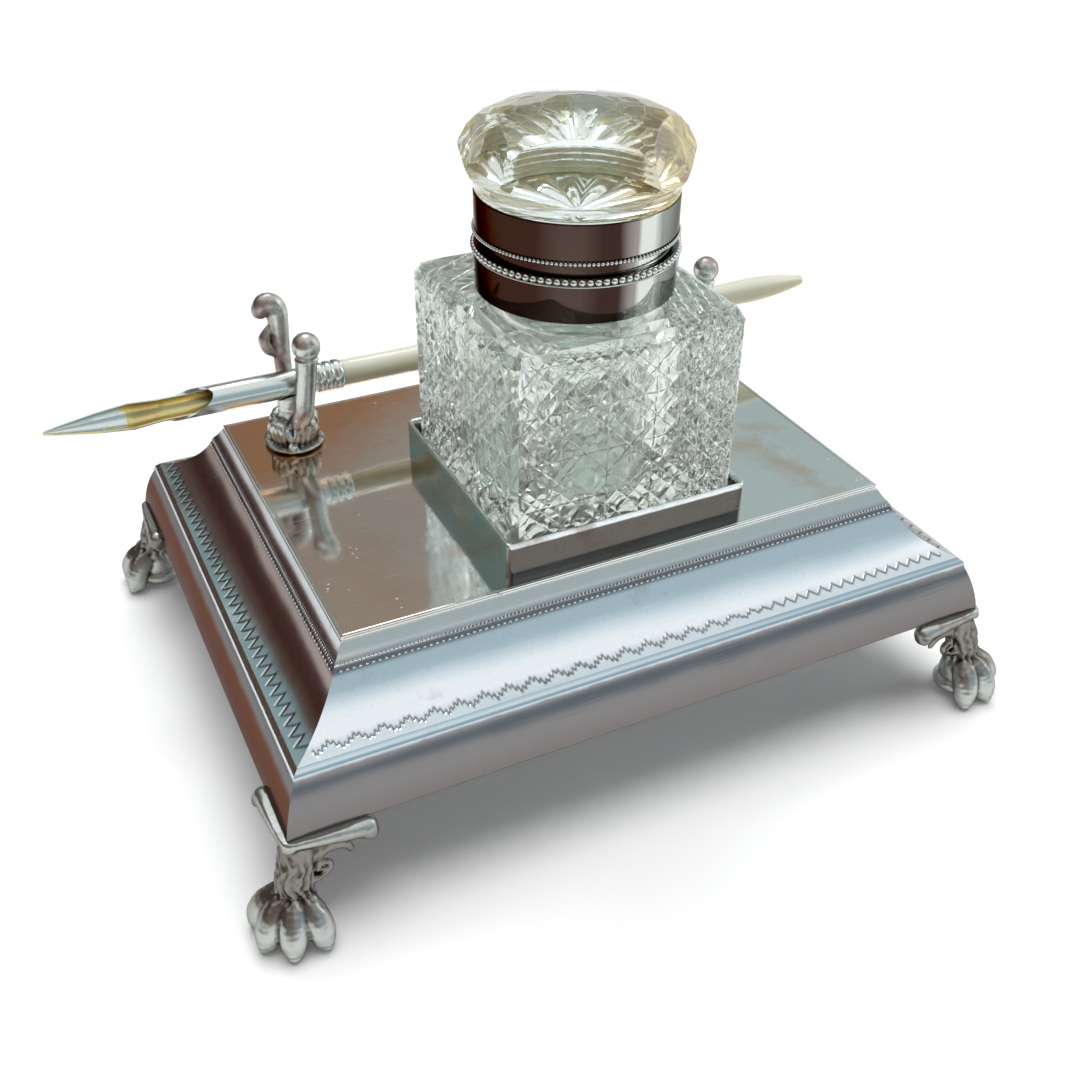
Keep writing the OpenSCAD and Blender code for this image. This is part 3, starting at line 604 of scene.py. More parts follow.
def moulding_mesh(side, length, off, cfg):
    """One side of the stand's moulding with its engraved line, mitred at both ends."""
    skirt_run = PLATE_LOW.y - SKIRT_LOW.y
    top = PLATE_LOW.z - SKIRT_Z
    fascia = (cfg.fascia_run, top - cfg.fascia_drop)
    cove_end = (cfg.rim_run - 1.3, cfg.rim_up + 1.4)
    # The cove is finely stepped below the fascia and where the engraving runs.
    cove = arc(fascia, cove_end, -cfg.cove_sag, 110)
    band_from, band_to = cfg.rim_run - 5.6, cfg.rim_run - 1.9
    cove = [p for i, p in enumerate(cove) if band_from < p[0] < band_to or i % 5 == 0 or i < 20]
    quirk = [(cfg.fascia_run + 0.05, fascia[1] - 0.35), (cfg.fascia_run + 0.35, fascia[1] - 0.42)]
    rim = arc((cfg.rim_run - 0.8, cfg.rim_up + 0.85), (cfg.rim_run + 0.14, cfg.rim_up - 0.75), 0.3, 6)
    skirt = arc((cfg.rim_run + 0.3, cfg.rim_up - 1.3), (skirt_run, 0.25), 0.5, 9)
    curl = arc((0.5, top - 0.5), (fascia[0] - 0.1, fascia[1] + 0.15), -0.12, 4)
    tuck, cell, drop = -5, 0.24, 0.8 * cfg.sheet
    outer = [(tuck, top), (0, top), (0.25, top - 0.12)] + curl + [fascia] + quirk + cove[5:] + rim + skirt
    outer.append((skirt_run - 0.1, 0.0))
    inner = [(skirt_run - cfg.sheet + 0.1, 0.0)]
    inner += [(x - cfg.sheet, max(0.1, y - drop)) for x, y in skirt[-2::-3] + cove[:18:-6] + cove[15::-5]]
    inner += [(0.0, top - cfg.sheet), (tuck, top - cfg.sheet)]
    section = np.array(outer + inner)
    u = np.linspace(-1, 1, int((length + 2 * cfg.rim_run) / cell))
    run = section[:, 0]
    x = np.outer(u, length / 2 + run)
    y = np.broadcast_to(-(off + run), x.shape)
    z = np.broadcast_to(section[:, 1] + SKIRT_Z, x.shape)
    points = np.stack([x, y, z], -1)

    # The engraved line, by how far each vertex is from it.
    middle = (band_from + band_to) / 2
    across = (run - middle) * 1.05
    line = wriggle(x, side)
    slope = np.gradient(line, axis=0) / np.maximum(np.gradient(x, axis=0), 1e-6)
    distance = np.abs(across[None, :] - line) / np.sqrt(1 + slope * slope)
    inside = (section[:, 1] > cfg.rim_up) & (np.arange(len(run)) < len(outer))
    depth = np.exp(-(distance / cfg.groove_width) ** 2) * inside[None, :]
    depth *= (np.abs(x) < length / 2 + middle - 1.5)
    points[..., 1] += depth * cfg.groove_depth * 0.42
    points[..., 2] -= depth * cfg.groove_depth * 0.9
    mesh = grid_mesh(points, closed_columns=True, caps=True)
    # Painted shade along the quirk under the fascia, behind the milled dots. The engraved line is marked dark
    # as well.
    quirk_shade = np.exp(-((run - cfg.fascia_run - 0.5) / 0.62) ** 4)
    quirk_shade *= section[:, 1] > top - cfg.fascia_drop - 3.0
    return mesh, np.maximum(depth * 0.8, quirk_shade[None, :] * inside * 0.75).reshape(-1)


def stand_sides():
    """For each side of the stand, the front first: number, length, distance from the middle, and place."""
    for side in range(4):
        size = PLATE_SIZE.xy if side % 2 == 0 else PLATE_SIZE.yx
        yield side, size.x, size.y / 2, STAND_PLACE @ Matrix.Rotation(side * math.pi / 2, 4, "Z")


class INKSTAND_OT_mouldings(bpy.types.Operator):
    """Build the four mouldings of the stand, with their engraved line"""
    bl_idname = "inkstand.mouldings"
    bl_label = "Mouldings"

    def execute(self, context):
        nodes = ("front_moulding", "right_moulding", "back_moulding", "left_moulding")
        for side, length, off, place in stand_sides():
            mesh, groove = moulding_mesh(side, length, off, context.scene.inkstand.stand)
            finish_piece(nodes[side] + "_engraved", clean(moved(mesh, place), merge=0),
                         silver(("moulding", "moulding_end")[side % 2]), "stand",
                         [nodes[side]], sharp=30, cavity=groove)
        return {"FINISHED"}


def growing(name, sockets, instances):
    """A geometry node tree with these inputs and a material. instances(tree, inputs) adds its instances."""
    tree = bpy.data.node_groups.new(name, "GeometryNodeTree")
    sockets = {"Geometry": "Geometry", **sockets, "Material": "Material"}
    for way, names in (("INPUT", sockets), ("OUTPUT", ["Geometry"])):
        for socket in names:
            tree.interface.new_socket(name=socket, in_out=way, socket_type="NodeSocket" + sockets[socket])
    into, out = tree.nodes.new("NodeGroupInput").outputs, tree.nodes.new("NodeGroupOutput")
    real = add(tree, "GeometryNodeRealizeInstances", {0: instances(tree, into)})
    done = add(tree, "GeometryNodeSetMaterial", {"Geometry": real.outputs[0], "Material": into["Material"]})
    feed(tree, out, {0: done.outputs[0]})
    return tree


def marks_tree():
    """Sets a small mark at each step along a line."""
    def instances(tree, into):
        line = add(tree, "GeometryNodeMeshLine", {"Count": into["Count"], "Start Location": into["Start"],
                                                  "Offset": into["Step"]})
        mark = add(tree, "GeometryNodeMeshUVSphere", {"Radius": 1.0, "Segments": 8, "Rings": 4})
        copies = {"Points": line.outputs[0], "Instance": mark.outputs[0], "Rotation": into["Turn"],
                  "Scale": into["Size"]}
        return add(tree, "GeometryNodeInstanceOnPoints", copies).outputs[0]
    sockets = {"Count": "Int", "Start": "Vector", "Step": "Vector", "Size": "Vector", "Turn": "Vector"}
    return growing("marks", sockets, instances)


def ring_tree():
    """Sets beads round an arc about the Z axis."""
    def instances(tree, into):
        path = add(tree, "GeometryNodeCurveArc", {"Resolution": into["Count"], "Radius": into["Radius"],
                                                  "Start Angle": into["From"], "Sweep Angle": into["Sweep"]})
        bead = add(tree, "GeometryNodeMeshUVSphere", {"Radius": into["Bead"], "Segments": 10, "Rings": 6})
        copies = {"Points": path.outputs[0], "Instance": bead.outputs[0]}
        return add(tree, "GeometryNodeInstanceOnPoints", copies).outputs[0]
    sockets = {"Count": "Int", "Radius": "Float", "Bead": "Float", "From": "Float", "Sweep": "Float"}
    return growing("beads", sockets, instances)


def grown(tree, values):
    """The mesh that a geometry node tree makes with these inputs."""
    sockets = {item.name: item.identifier for item in tree.interface.items_tree
               if item.item_type == "SOCKET" and item.in_out == "INPUT"}

    def modify(holder):
        modifier = holder.modifiers.new("grow", "NODES")
        modifier.node_group = tree
        for name, value in values.items():
            modifier[sockets[name]] = value
    return evaluated(bpy.data.meshes.new("seed"), modify)


class INKSTAND_OT_milling(bpy.types.Operator):
    """Set the milled dots and the punched dashes below the fascia"""
    bl_idname = "inkstand.milling"
    bl_label = "Milling"

    def execute(self, context):
        cfg = context.scene.inkstand.stand
        tree, material = marks_tree(), silver("milled")
        line_z = PLATE_LOW.z - cfg.fascia_drop
        lean = (math.radians(-58), 0.0, 0.0)
        rows = ((cfg.fascia_run + 0.30, line_z - 0.34, cfg.dot_pitch, (0.27, 0.27, 0.27)),
                (cfg.fascia_run + 0.92, line_z - 1.62, cfg.dash_pitch, (0.48, 0.34, 0.22)))
        parts = []
        for _, length, off, place in stand_sides():
            for run, z, pitch, mark in rows:
                count = int((length + 2 * run - 1.5) / pitch)
                start = (-pitch * (count - 1) / 2, -(off + run), z)
                row = grown(tree, {"Count": count, "Start": start, "Step": (pitch, 0.0, 0.0), "Size": mark,
                                   "Turn": lean, "Material": material})
                parts.append(moved(row, place))
        finish_piece("fascia_milling", joined(parts), material, "stand")
        return {"FINISHED"}


def frame_sweep(half_x, half_y, corner, section, steps=6):
    """Sweeps a closed section of (outward, z) round a rectangle with rounded corners."""
    path, outward = [], []
    for k, (sx, sy) in enumerate(CORNERS):
        centre = np.array([sx * (half_x - corner), sy * (half_y - corner)])
        for step in range(steps + 1):
            angle = math.radians(-90 + 90 * k + 90 * step / steps)
            direction = np.array([math.cos(angle), math.sin(angle)])
            path.append(centre + corner * direction)
            outward.append(direction)
    path, outward, section = np.array(path), np.array(outward), np.array(section)
    xy = path[:, None, :] + outward[:, None, :] * section[None, :, :1]
    z = np.broadcast_to(section[None, :, 1:], (len(path), len(section), 1))
    return grid_mesh(np.concatenate([xy, z], -1), closed_rows=True, closed_columns=True)


class INKSTAND_OT_plate(bpy.types.Operator):
    """Finish the top plate, its rounded edge and the gallery"""
    bl_idname = "inkstand.plate"
    bl_label = "Plate and gallery"

    def execute(self, context):
        paint(silver("plate"), "top_plate")
        edge_r, under = 0.9, PLATE_Z - 1.0
        edge = [(-1.1 + edge_r * math.cos(a) + 0.35, PLATE_Z - 0.82 + edge_r * math.sin(a))
                for a in np.linspace(math.radians(100), math.radians(-10), 8)]
        edge += [(0.1, under), (-0.9, under), (-1.0, PLATE_Z - 0.1)]
        mesh = frame_sweep(PLATE_SIZE.x / 2, PLATE_SIZE.y / 2, 0.8, edge)
        finish_piece("plate_edge", clean(moved(mesh, STAND_PLACE)), silver("bead"), "stand",
                     sharp=50)

        low, high = GALLERY_LOW, GALLERY_HIGH
        half, centre = (high - low) / 2, (low + high) / 2
        wall, roll, neck_z = 1.0, 0.62, high.z - 1.3
        section = [(-0.02, low.z + 0.5), (-0.05, neck_z)]
        section += [(-wall / 2 + roll * math.cos(a), high.z - roll + roll * math.sin(a))
                    for a in np.linspace(math.radians(-30), math.radians(210), 12)]
        section += [(-wall + 0.02, neck_z), (-wall, low.z), (0.0, low.z)]
        mesh = frame_sweep(half.x, half.y, 1.7, [(min(x, 0.0), z) for x, z in section])
        finish_piece("gallery_rolled", clean(moved(mesh, shift(centre.x, centre.y))), silver("gallery"),
                     "stand", ["gallery_frame"], sharp=40)
        return {"FINISHED"}


# --- Cast pieces ---

def ball(centre, radii, turn=None):
    """An ellipsoid as a rough mesh, to be melted into a cast piece."""
    bm = bmesh.new()
    radii = (radii,) * 3 if isinstance(radii, (int, float)) else radii
    matrix = shift(*centre) @ (turn or Matrix()) @ Matrix.Diagonal((*radii, 1))
    bmesh.ops.create_icosphere(bm, subdivisions=3, radius=1.0, matrix=matrix)
    mesh = bpy.data.meshes.new("ball")
    bm.to_mesh(mesh)
    bm.free()
    return mesh


def trail(points, radii, flat=1.0, axis="Y"):
    """A run of balls along a smooth line through the points, with a radius at each point."""
    points = [Vector(p) for p in points]
    balls = []
    for i in range(len(points) - 1):
        p0, p1 = points[max(i - 1, 0)], points[i]
        p2, p3 = points[i + 1], points[min(i + 2, len(points) - 1)]
        steps = max(3, int((p2 - p1).length / (0.3 * min(radii[i], radii[i + 1]))))
        for step in range(steps + (i == len(points) - 2)):
            t = step / steps
            at = 0.5 * ((2 * p1) + (p2 - p0) * t + (2 * p0 - 5 * p1 + 4 * p2 - p3) * t * t
                        + (3 * p1 - p0 - 3 * p2 + p3) * t ** 3)
            r = radii[i] + (radii[i + 1] - radii[i]) * t
            size = {"X": (r * flat, r, r), "Y": (r, r * flat, r), "Z": (r, r, r * flat)}[axis]
            balls.append(ball(at, size))
    return joined(balls)


def melted(parts, voxel, smooth):
    """Fuses overlapping meshes into one smooth cast skin."""
    return applied(joined(parts), ("REMESH", {"mode": "VOXEL", "voxel_size": voxel, "adaptivity": 0.0}),
                   ("SMOOTH", {"factor": 0.5, "iterations": smooth}))


def coordinates(mesh):
    points = np.empty(len(mesh.vertices) * 3)
    mesh.vertices.foreach_get("co", points)
    return points.reshape(-1, 3)


def normals(mesh):
    values = np.empty(len(mesh.vertices) * 3, np.float32)
    mesh.vertex_normals.foreach_get("vector", values)
    return values.reshape(-1, 3)


def hollows(mesh):
    """How hollow the surface is at each vertex, from 0 on ridges to 1 in deep grooves."""
    rounds, gain = 10, 2.4 * 2.2
    points = coordinates(mesh)
    edges = np.empty(len(mesh.edges) * 2, np.int64)
    mesh.edges.foreach_get("vertices", edges)
    edges = edges.reshape(-1, 2)
    count = np.bincount(edges.reshape(-1), minlength=len(points)).astype(float)[:, None]

    def spread(values):
        total = np.zeros_like(values)
        np.add.at(total, edges[:, 0], values[edges[:, 1]])
        np.add.at(total, edges[:, 1], values[edges[:, 0]])
        return total / np.maximum(count, 1)

    softened = points
    for _ in range(rounds):
        softened = spread(softened)
    height = np.einsum("ij,ij->i", softened - points, normals(mesh))
    height = spread(height[:, None])[:, 0]
    return np.clip(height * gain, 0, 1)


def noise_at(points, scale):
    return np.array([noise.noise(Vector(p) * scale) for p in points])


def screw(radius, bottom, top):
    """A threaded stud about the Z axis."""
    turns = int((top - bottom) / 0.5)
    profile = [(0.01, bottom), (radius * 0.7, bottom)]
    for i in range(turns):
        z = bottom + (i + 0.3) * (top - bottom) / turns
        profile += [(radius * 0.99, z), (radius * 0.84, z + 0.22)]
    profile += [(radius * 0.99, top), (0.01, top)]
    return lathe(profile, 24)


def reshape(mesh, points):
    """Moves the vertices of a mesh to these points."""
    mesh.vertices.foreach_set("co", points.reshape(-1))
    mesh.update()
    return mesh


def cast_piece(name, node, master, hollow, stud, place):
    """Makes a piece from a cast skin, with its hollows, and its stud."""
    mesh = moved(joined([master, stud]), place)
    cavity = np.zeros(len(mesh.vertices))
    cavity[:len(hollow)] = hollow
    finish_piece(name, mesh, silver("cast"), "stand", [node], sharp=60, cavity=cavity)


def foot_mesh(cfg):
    """A lion's paw with its leaves, for the front left corner, which is at the origin."""
    skirt = SKIRT_Z
    ankle = Vector((0.3, 0.9, 0))
    # The pad of the paw, and its toes with their claws.
    parts = [ball((0.0, 0.4, 3.2), (6.2, 6.2, 3.1)), ball((-0.2, 0.2, 6.0), (5.2, 5.2, 3.4))]
    for turn in (158, 203, 247, 292):
        def spot(share, z):
            return ankle + heading(turn) * (cfg.toe_reach * share) + Vector((0, 0, z))
        spots = [spot(share, z)
                 for share, z in ((0.20, 10.4), (0.46, 9.9), (0.74, 7.9), (0.93, 5.0), (0.95, 2.7))]
        parts.append(trail(spots, [2.5, 2.95, 3.2, 3.1, 2.6]))
        for share, z, r in ((1.04, 3.0, 2.25), (1.08, 1.5, 1.7)):
            parts.append(ball(spot(share, z), (r, r, r * 0.7)))
    # The leg, and the flat lug under the corner.
    parts.append(trail([(0.2, 0.6, 7), (0.3, 1.0, 12), (0.9, 1.3, 17), (2.4, 2.4, 22), (3.4, 3.4, skirt - 2)],
                       [4.8, 4.2, 3.9, 3.9, 4.4]))
    parts.append(trail([(0.5, 0.5, skirt - 2.0), (4, 4, skirt - 1.4), (8, 8, skirt - 1.1)], [2.0, 3.6, 2.6],
                       flat=0.42, axis="Z"))
    # A leaf with its scroll below each of the two skirts.
    for mirrored in (False, True):
        leaf = [
            trail([(0.6, -0.1, skirt - 1.0), (6, -0.3, skirt - 1.3), (12, -0.5, skirt - 1.8),
                   (16.9, -0.5, skirt - 2.4)], [1.3, 1.8, 2.1, 2.4]),
            ball((17.2, -0.9, skirt - 3.2), (2.1, 2.3, 1.9)),
            trail([(2.0, 0.9, skirt - 4.6), (5.6, 0.7, skirt - 3.6), (11.5, 0.4, skirt - 3.0)],
                  [2.8, 2.2, 1.5], flat=0.6),
            trail([(2.6, 0.6, skirt - 11), (4.6, 0.3, skirt - 7.6), (8.4, 0.0, skirt - 5.0),
                   (11.8, -0.2, skirt - 5.7), (13.2, -0.2, skirt - 8.0)],
                  [1.7, 1.6, 1.5, 1.2, 0.75], flat=0.75),
            trail([(3.6, 0.4, skirt - 13.0), (5.6, 0.1, skirt - 12.9), (7.9, -0.1, skirt - 11.6),
                   (8.1, -0.1, skirt - 9.7), (6.5, -0.1, skirt - 8.9), (5.5, -0.1, skirt - 10.2),
                   (6.6, -0.1, skirt - 11.0)], [1.3, 0.95, 0.85, 0.8, 0.72, 0.66, 0.6]),
        ]
        mesh = joined(leaf)
        if mirrored:
            mesh.transform(Matrix(((0, 1, 0, 0), (1, 0, 0, 0), (0, 0, 1, 0), (0, 0, 0, 1))))
            mesh.flip_normals()
        parts.append(mesh)
    mesh = melted(parts, cfg.voxel, 5)
    points, facing = coordinates(mesh), normals(mesh)
    # Strands of hair round the leg, and the grain of the casting.
    from_ankle = points[:, :2] - np.array([0.6, 1.0]) - np.clip((points[:, 2:3] - 14) / 12, 0, 1) * 2.4
    angle = np.arctan2(from_ankle[:, 1], from_ankle[:, 0])
    radius = np.linalg.norm(from_ankle, axis=1)
    tall = np.clip((points[:, 2] - 8.5) / 2, 0, 1) * np.clip((skirt - 3.5 - points[:, 2]) / 3, 0, 1)
    near = np.clip((6.2 - radius) / 1.2, 0, 1)
    strands = np.sin(angle * 11 + 0.9 * np.sin(points[:, 2] * 0.9) + 3 * noise_at(points, 0.35))
    points += facing * (strands * cfg.hair * tall * near)[:, None]
    points += facing * (noise_at(points, 0.8) * 0.08)[:, None]
    points[:, 2] = np.clip(points[:, 2], 0.0, skirt - 0.02)
    return reshape(mesh, points)


class INKSTAND_OT_feet(bpy.types.Operator):
    """Model the four paw feet"""
    bl_idname = "inkstand.feet"
    bl_label = "Feet"

    def execute(self, context):
        master = foot_mesh(context.scene.inkstand.cast)
        hollow = hollows(master)
        corner = SKIRT_LOW - STAND_AT
        nut = box_mm("foot_nuts")[0] - SKIRT_LOW
        nut_r, top = 3, box_mm("foot_front_left")[1].z
        for name, sx, sy in (("front_left", 1, 1), ("front_right", -1, 1), ("back_left", 1, -1),
                             ("back_right", -1, -1)):
            stud = moved(screw(STUD_R, SKIRT_Z - 1, top), shift(nut.x + nut_r, nut.y + nut_r))
            place = shift(STAND_AT.x + sx * corner.x, STAND_AT.y + sy * corner.y)
            cast_piece("paw_" + name, "foot_" + name, master, hollow, stud,
                       place @ Matrix.Diagonal((sx, sy, 1, 1)))
        return {"FINISHED"}


def rest_mesh(cfg):
    """A cast pen rest about the origin, standing on z = 0, with the pen's axis along X."""
    pen_up, clear = PEN_Z - PLATE_Z, 3.8
    # The foot with its leaves and buds, and the stem.
    parts = [trail([(0, 0, 1.5), (0, 0, 5), (0, 0, 8.5)], [5.6, 4.6, 3.3]),
             ball((0, 0, 0.9), (7.7, 7.7, 1.0))]
    for turn in (-68, -158, 112, 22):
        lean = Matrix.Rotation(math.radians(turn), 4, "Z") @ Matrix.Rotation(math.radians(24), 4, "Y")
        parts.append(ball(heading(turn) * 3.9 + Vector((0, 0, 4.3)), (2.7, 4.0, 4.7), lean))
    for turn in (-112, -22, 68, 158):
        for reach, z, r in ((6.4, 1.5, 1.45), (5.6, 4.0, 1.1)):
            parts.append(ball(heading(turn) * reach + Vector((0, 0, z)), r))
    parts.append(trail([(0, 0, 8), (0, 0, pen_up - 4)], [3.5, 3.4]))
    # The front arm with its collar and ball.
    parts.append(trail([(0.2, -3.4, 6), (1.3, -6.6, 11), (1.9, -7.2, 15), (3.2, -7.5, 26)],
                       [2.4, 2.3, 2.4, 2.8]))
    parts.append(ball((3.3, -7.5, 26.6), (3.1, 3.0, 0.8)))
    parts.append(ball((3.5, -7.5, 30.0), 3.55))
    # The back arm with its hooked head and a curl.
    parts.append(trail([(0, 4.0, 6), (0.7, 6.4, 11.5), (0.8, 6.8, 16), (0.8, 6.9, 25), (0.7, 6.9, 33.6),
                        (-0.5, 6.9, 36.0), (-2.2, 6.9, 36.3), (-3.4, 6.9, 34.9)],
                       [2.3, 2.15, 2.1, 2.3, 2.8, 2.8, 2.6, 2.2]))
    parts.append(trail([(-0.4, 6.5, 22.6), (-2.6, 6.3, 24.6), (-3.3, 6.3, 27.4), (-1.2, 6.5, 30.4)],
                       [1.1, 1.6, 1.5, 0.8]))
    mesh = melted(parts, cfg.voxel, 4)
    points, facing = coordinates(mesh), normals(mesh)
    turn = np.arctan2(points[:, 1], points[:, 0])
    low = np.clip((8.8 - points[:, 2]) / 2, 0, 1) * np.clip((points[:, 2] - 1.2) / 1, 0, 1)
    points += facing * (np.sin(turn * 24) * 0.16 * low)[:, None]
    points += facing * (noise_at(points, 0.8) * 0.05)[:, None]
    points[:, 2] = np.maximum(points[:, 2], 0.0)
    # Room for the pen.
    across = points[:, 1:] - np.array([0, pen_up])
    reach = np.linalg.norm(across, axis=1)
    near = (reach < clear) & (points[:, 2] > 8)
    across[near] *= (clear / np.maximum(reach[near], 1e-6))[:, None]
    points[near, 1:] = across[near] + np.array([0, pen_up])
    return reshape(mesh, points)


class INKSTAND_OT_rests(bpy.types.Operator):
    """Model the two pen rests"""
    bl_idname = "inkstand.rests"
    bl_label = "Pen rests"

    def execute(self, context):
        master = rest_mesh(context.scene.inkstand.cast)
        hollow = hollows(master)
        nuts = [v.co.x / MM for v in NODES["rest_nuts"].data.vertices]
        for side in ("left", "right"):
            node = "pen_rest_" + side
            low, high = box_mm(node)
            at_x = [x for x in nuts if low.x < x < high.x]
            cast_piece("cast_" + node, node, master, hollow, screw(STUD_R, low.z - PLATE_Z, 1.0),
                       shift((min(at_x) + max(at_x)) / 2, PEN_Y, PLATE_Z))
        return {"FINISHED"}


class INKSTAND_OT_fixings(bpy.types.Operator):
    """Finish the gussets, washers, nuts, hinge, linings and cement"""
    bl_idname = "inkstand.fixings"
    bl_label = "Fixings"

    def execute(self, context):
        paint(steel(), "foot_washers", "foot_nuts", "rest_washers", "rest_nuts", "corner_gussets",
              "hinge_pin")
        paint(silver("band"), "collar_hinge_leaf", "lid_hinge_leaf")
        paint(gilding(), "lid_lining")
        paint(cement(), "neck_cement", "lid_cement")
        return {"FINISHED"}


# --- Well and lid ---

def groove_bars(face_at, lines, depth, half_width, reach):
    """V-shaped bars for cuts in a face in the XZ plane at y = face_at. A line is its angle and its offset."""
    bars = []
    foot, ridge = half_width * 1.6, 0.02
    section = [(-foot, -depth * 0.6), (foot, -depth * 0.6), (ridge, depth), (-ridge, depth)]
    for turn, offset in lines:
        points = np.array([[(s + offset, face_at + d, x) for s, d in section] for x in (-reach, reach)])
        mesh = grid_mesh(points, closed_columns=True, caps=True)
        bars.append(moved(mesh, Matrix.Rotation(math.radians(turn), 4, "Y")))
    return bars


def combined(mesh, other, operation="DIFFERENCE"):
    """The mesh less another, or with it for the operation UNION."""
    tool = bpy.data.objects.new("tool", clean(other))
    bpy.context.scene.collection.objects.link(tool)
    result = applied(mesh, ("BOOLEAN", {"operation": operation, "object": tool, "solver": "MANIFOLD"}))
    bpy.data.objects.remove(tool)
    return result


def neck_radius(outer_r):
    """Radius of the glass inside a band of this outer radius and its cement."""
    return outer_r - BAND_WALL - CEMENT_WALL - CEMENT_SLACK


def bottle_mesh(cfg):
    """The square bottle about the Z axis, standing on z = 0, with its ink hollow and its cut faces."""
    half = BOTTLE_HALF
    height = COLLAR_LOW.z - BOTTLE_LOW.z - 0.04
    top = BOTTLE_HIGH.z - BOTTLE_LOW.z
    edge, bevel = 3.2, 3.4
    levels = [(0.15, half - 1.0), (1.1, half), (height - bevel, half), (height - 1.1, half - 1.1),
              (height, half - bevel)]
    rings = []
    for z, w in levels:
        ring = []
        for quarter, (sx, sy) in enumerate(CORNERS):
            turns = [math.radians(90 * quarter - 45 + step) for step in (-45, -15, 15, 45)]
            ring += [(sx * (w - edge) + edge * math.cos(t), sy * (w - edge) + edge * math.sin(t), z)
                     for t in turns]
        rings.append(ring)
    body = clean(grid_mesh(np.array(rings), closed_columns=True, caps=True))

    # Cuts along the slopes, broad ones and pairs of narrow ones, then narrow level and upright ones.
    p, twin_gap, broad_half = cfg.lattice, 4.45, 1.3
    spread = 2 * p / math.sqrt(2)
    twin = [k * spread + s * twin_gap for k in range(-2, 3) for s in (-1, 1)]
    between = [(k + 0.5) * spread / 4 for k in range(-10, 10)]
    level = [d for d in [(k + 0.5) * p for k in range(-4, 4)] if abs(d) < half + p / 2]
    slopes, narrow = (45, -45), (cfg.mitre_depth, cfg.mitre_depth * 0.62)
    families = (([(turned, d) for turned in slopes for d in between], cfg.broad_depth, broad_half),
                ([(turned, d) for turned in slopes for d in twin], *narrow),
                ([(turned, d) for turned in (0, 90) for d in level], *narrow))
    ball_r = 9.0
    sink = ball_r - math.sqrt(ball_r ** 2 - cfg.button_r ** 2)
    dishes = [(i * p, -half - ball_r + sink, j * p) for i in range(-2, 3) for j in range(-3, 2)
              if (i + j) % 2 == 0 and abs(i * p) < half - 4]
    for turn in range(4):
        place = Matrix.Rotation(turn * math.pi / 2, 4, "Z") @ shift(0, 0, height / 2 + p / 2)
        cutters = [bar for lines, depth, half_width in families
                   for bar in groove_bars(-half, lines, depth, half_width, height + 2 * half)]
        for cutter in cutters + [ball(at, ball_r) for at in dishes]:
            body = combined(body, moved(cutter, place))

    neck_r = neck_radius(COLLAR_R)
    neck = lathe([(0.01, height - 2), (neck_r, height - 2), (neck_r, top), (0.01, top)], 96)
    body = combined(body, neck, "UNION")

    floor_z, ink_r, soft = 9.0, 20.0, 5.0
    roof, drop, bow = height - 6, 6, 0.293
    hollow = [(0.01, floor_z)] + arc((ink_r - soft, floor_z), (ink_r, floor_z + soft), -bow * soft, 8)
    hollow += arc((ink_r, roof - drop), (MOUTH_R, roof), -bow * drop, 8)
    hollow += [(MOUTH_R, top + 1), (0.01, top + 1)]
    return combined(body, lathe(hollow, 96))


def ground_lines(mesh, width, chosen):
    """Sets a narrow ground line, marked as a hollow, along the edges of each chosen facet."""
    bm = bmesh.new()
    bm.from_mesh(mesh)
    mark = bm.faces.layers.float.new("cavity")
    bmesh.ops.dissolve_limit(bm, angle_limit=math.radians(1.5), verts=bm.verts[:], edges=bm.edges[:])
    facets = set(bm.faces)
    wide = [face for face in bm.faces
            if chosen(face.calc_center_median()) and face.calc_area() > 30 * width * width]
    bmesh.ops.inset_individual(bm, faces=wide, thickness=width, use_even_offset=False)
    for face in bm.faces:
        face[mark] = 0.0 if face in facets else 1.0
    bm.to_mesh(mesh)
    bm.free()
    return mesh


def ground_cuts(mesh):
    """For each face of the bottle, 1 where it is a side of a narrow cut, left unpolished, and 0 elsewhere."""
    steep = 0.66
    return np.array([max(abs(face.center.x), abs(face.center.y)) > BOTTLE_HALF - 1.0
                     and max(abs(c) for c in face.normal) < steep for face in mesh.polygons], float)


class INKSTAND_OT_bottle(bpy.types.Operator):
    """Cut the square glass bottle"""
    bl_idname = "inkstand.bottle"
    bl_label = "Bottle"

    def execute(self, context):
        cfg = context.scene.inkstand.glass
        mesh = bottle_mesh(cfg)
        cuts = ground_cuts(mesh)
        mesh.transform(shift(WELL_AT.x, WELL_AT.y, BOTTLE_LOW.z))
        finish_piece("cut_glass_bottle", mesh, glass("bottle_glass", cfg.bottle_tint, 0.01, 0.92), "well",
                     ["glass_bottle"], sharp=12, cavity=cuts)
        return {"FINISHED"}


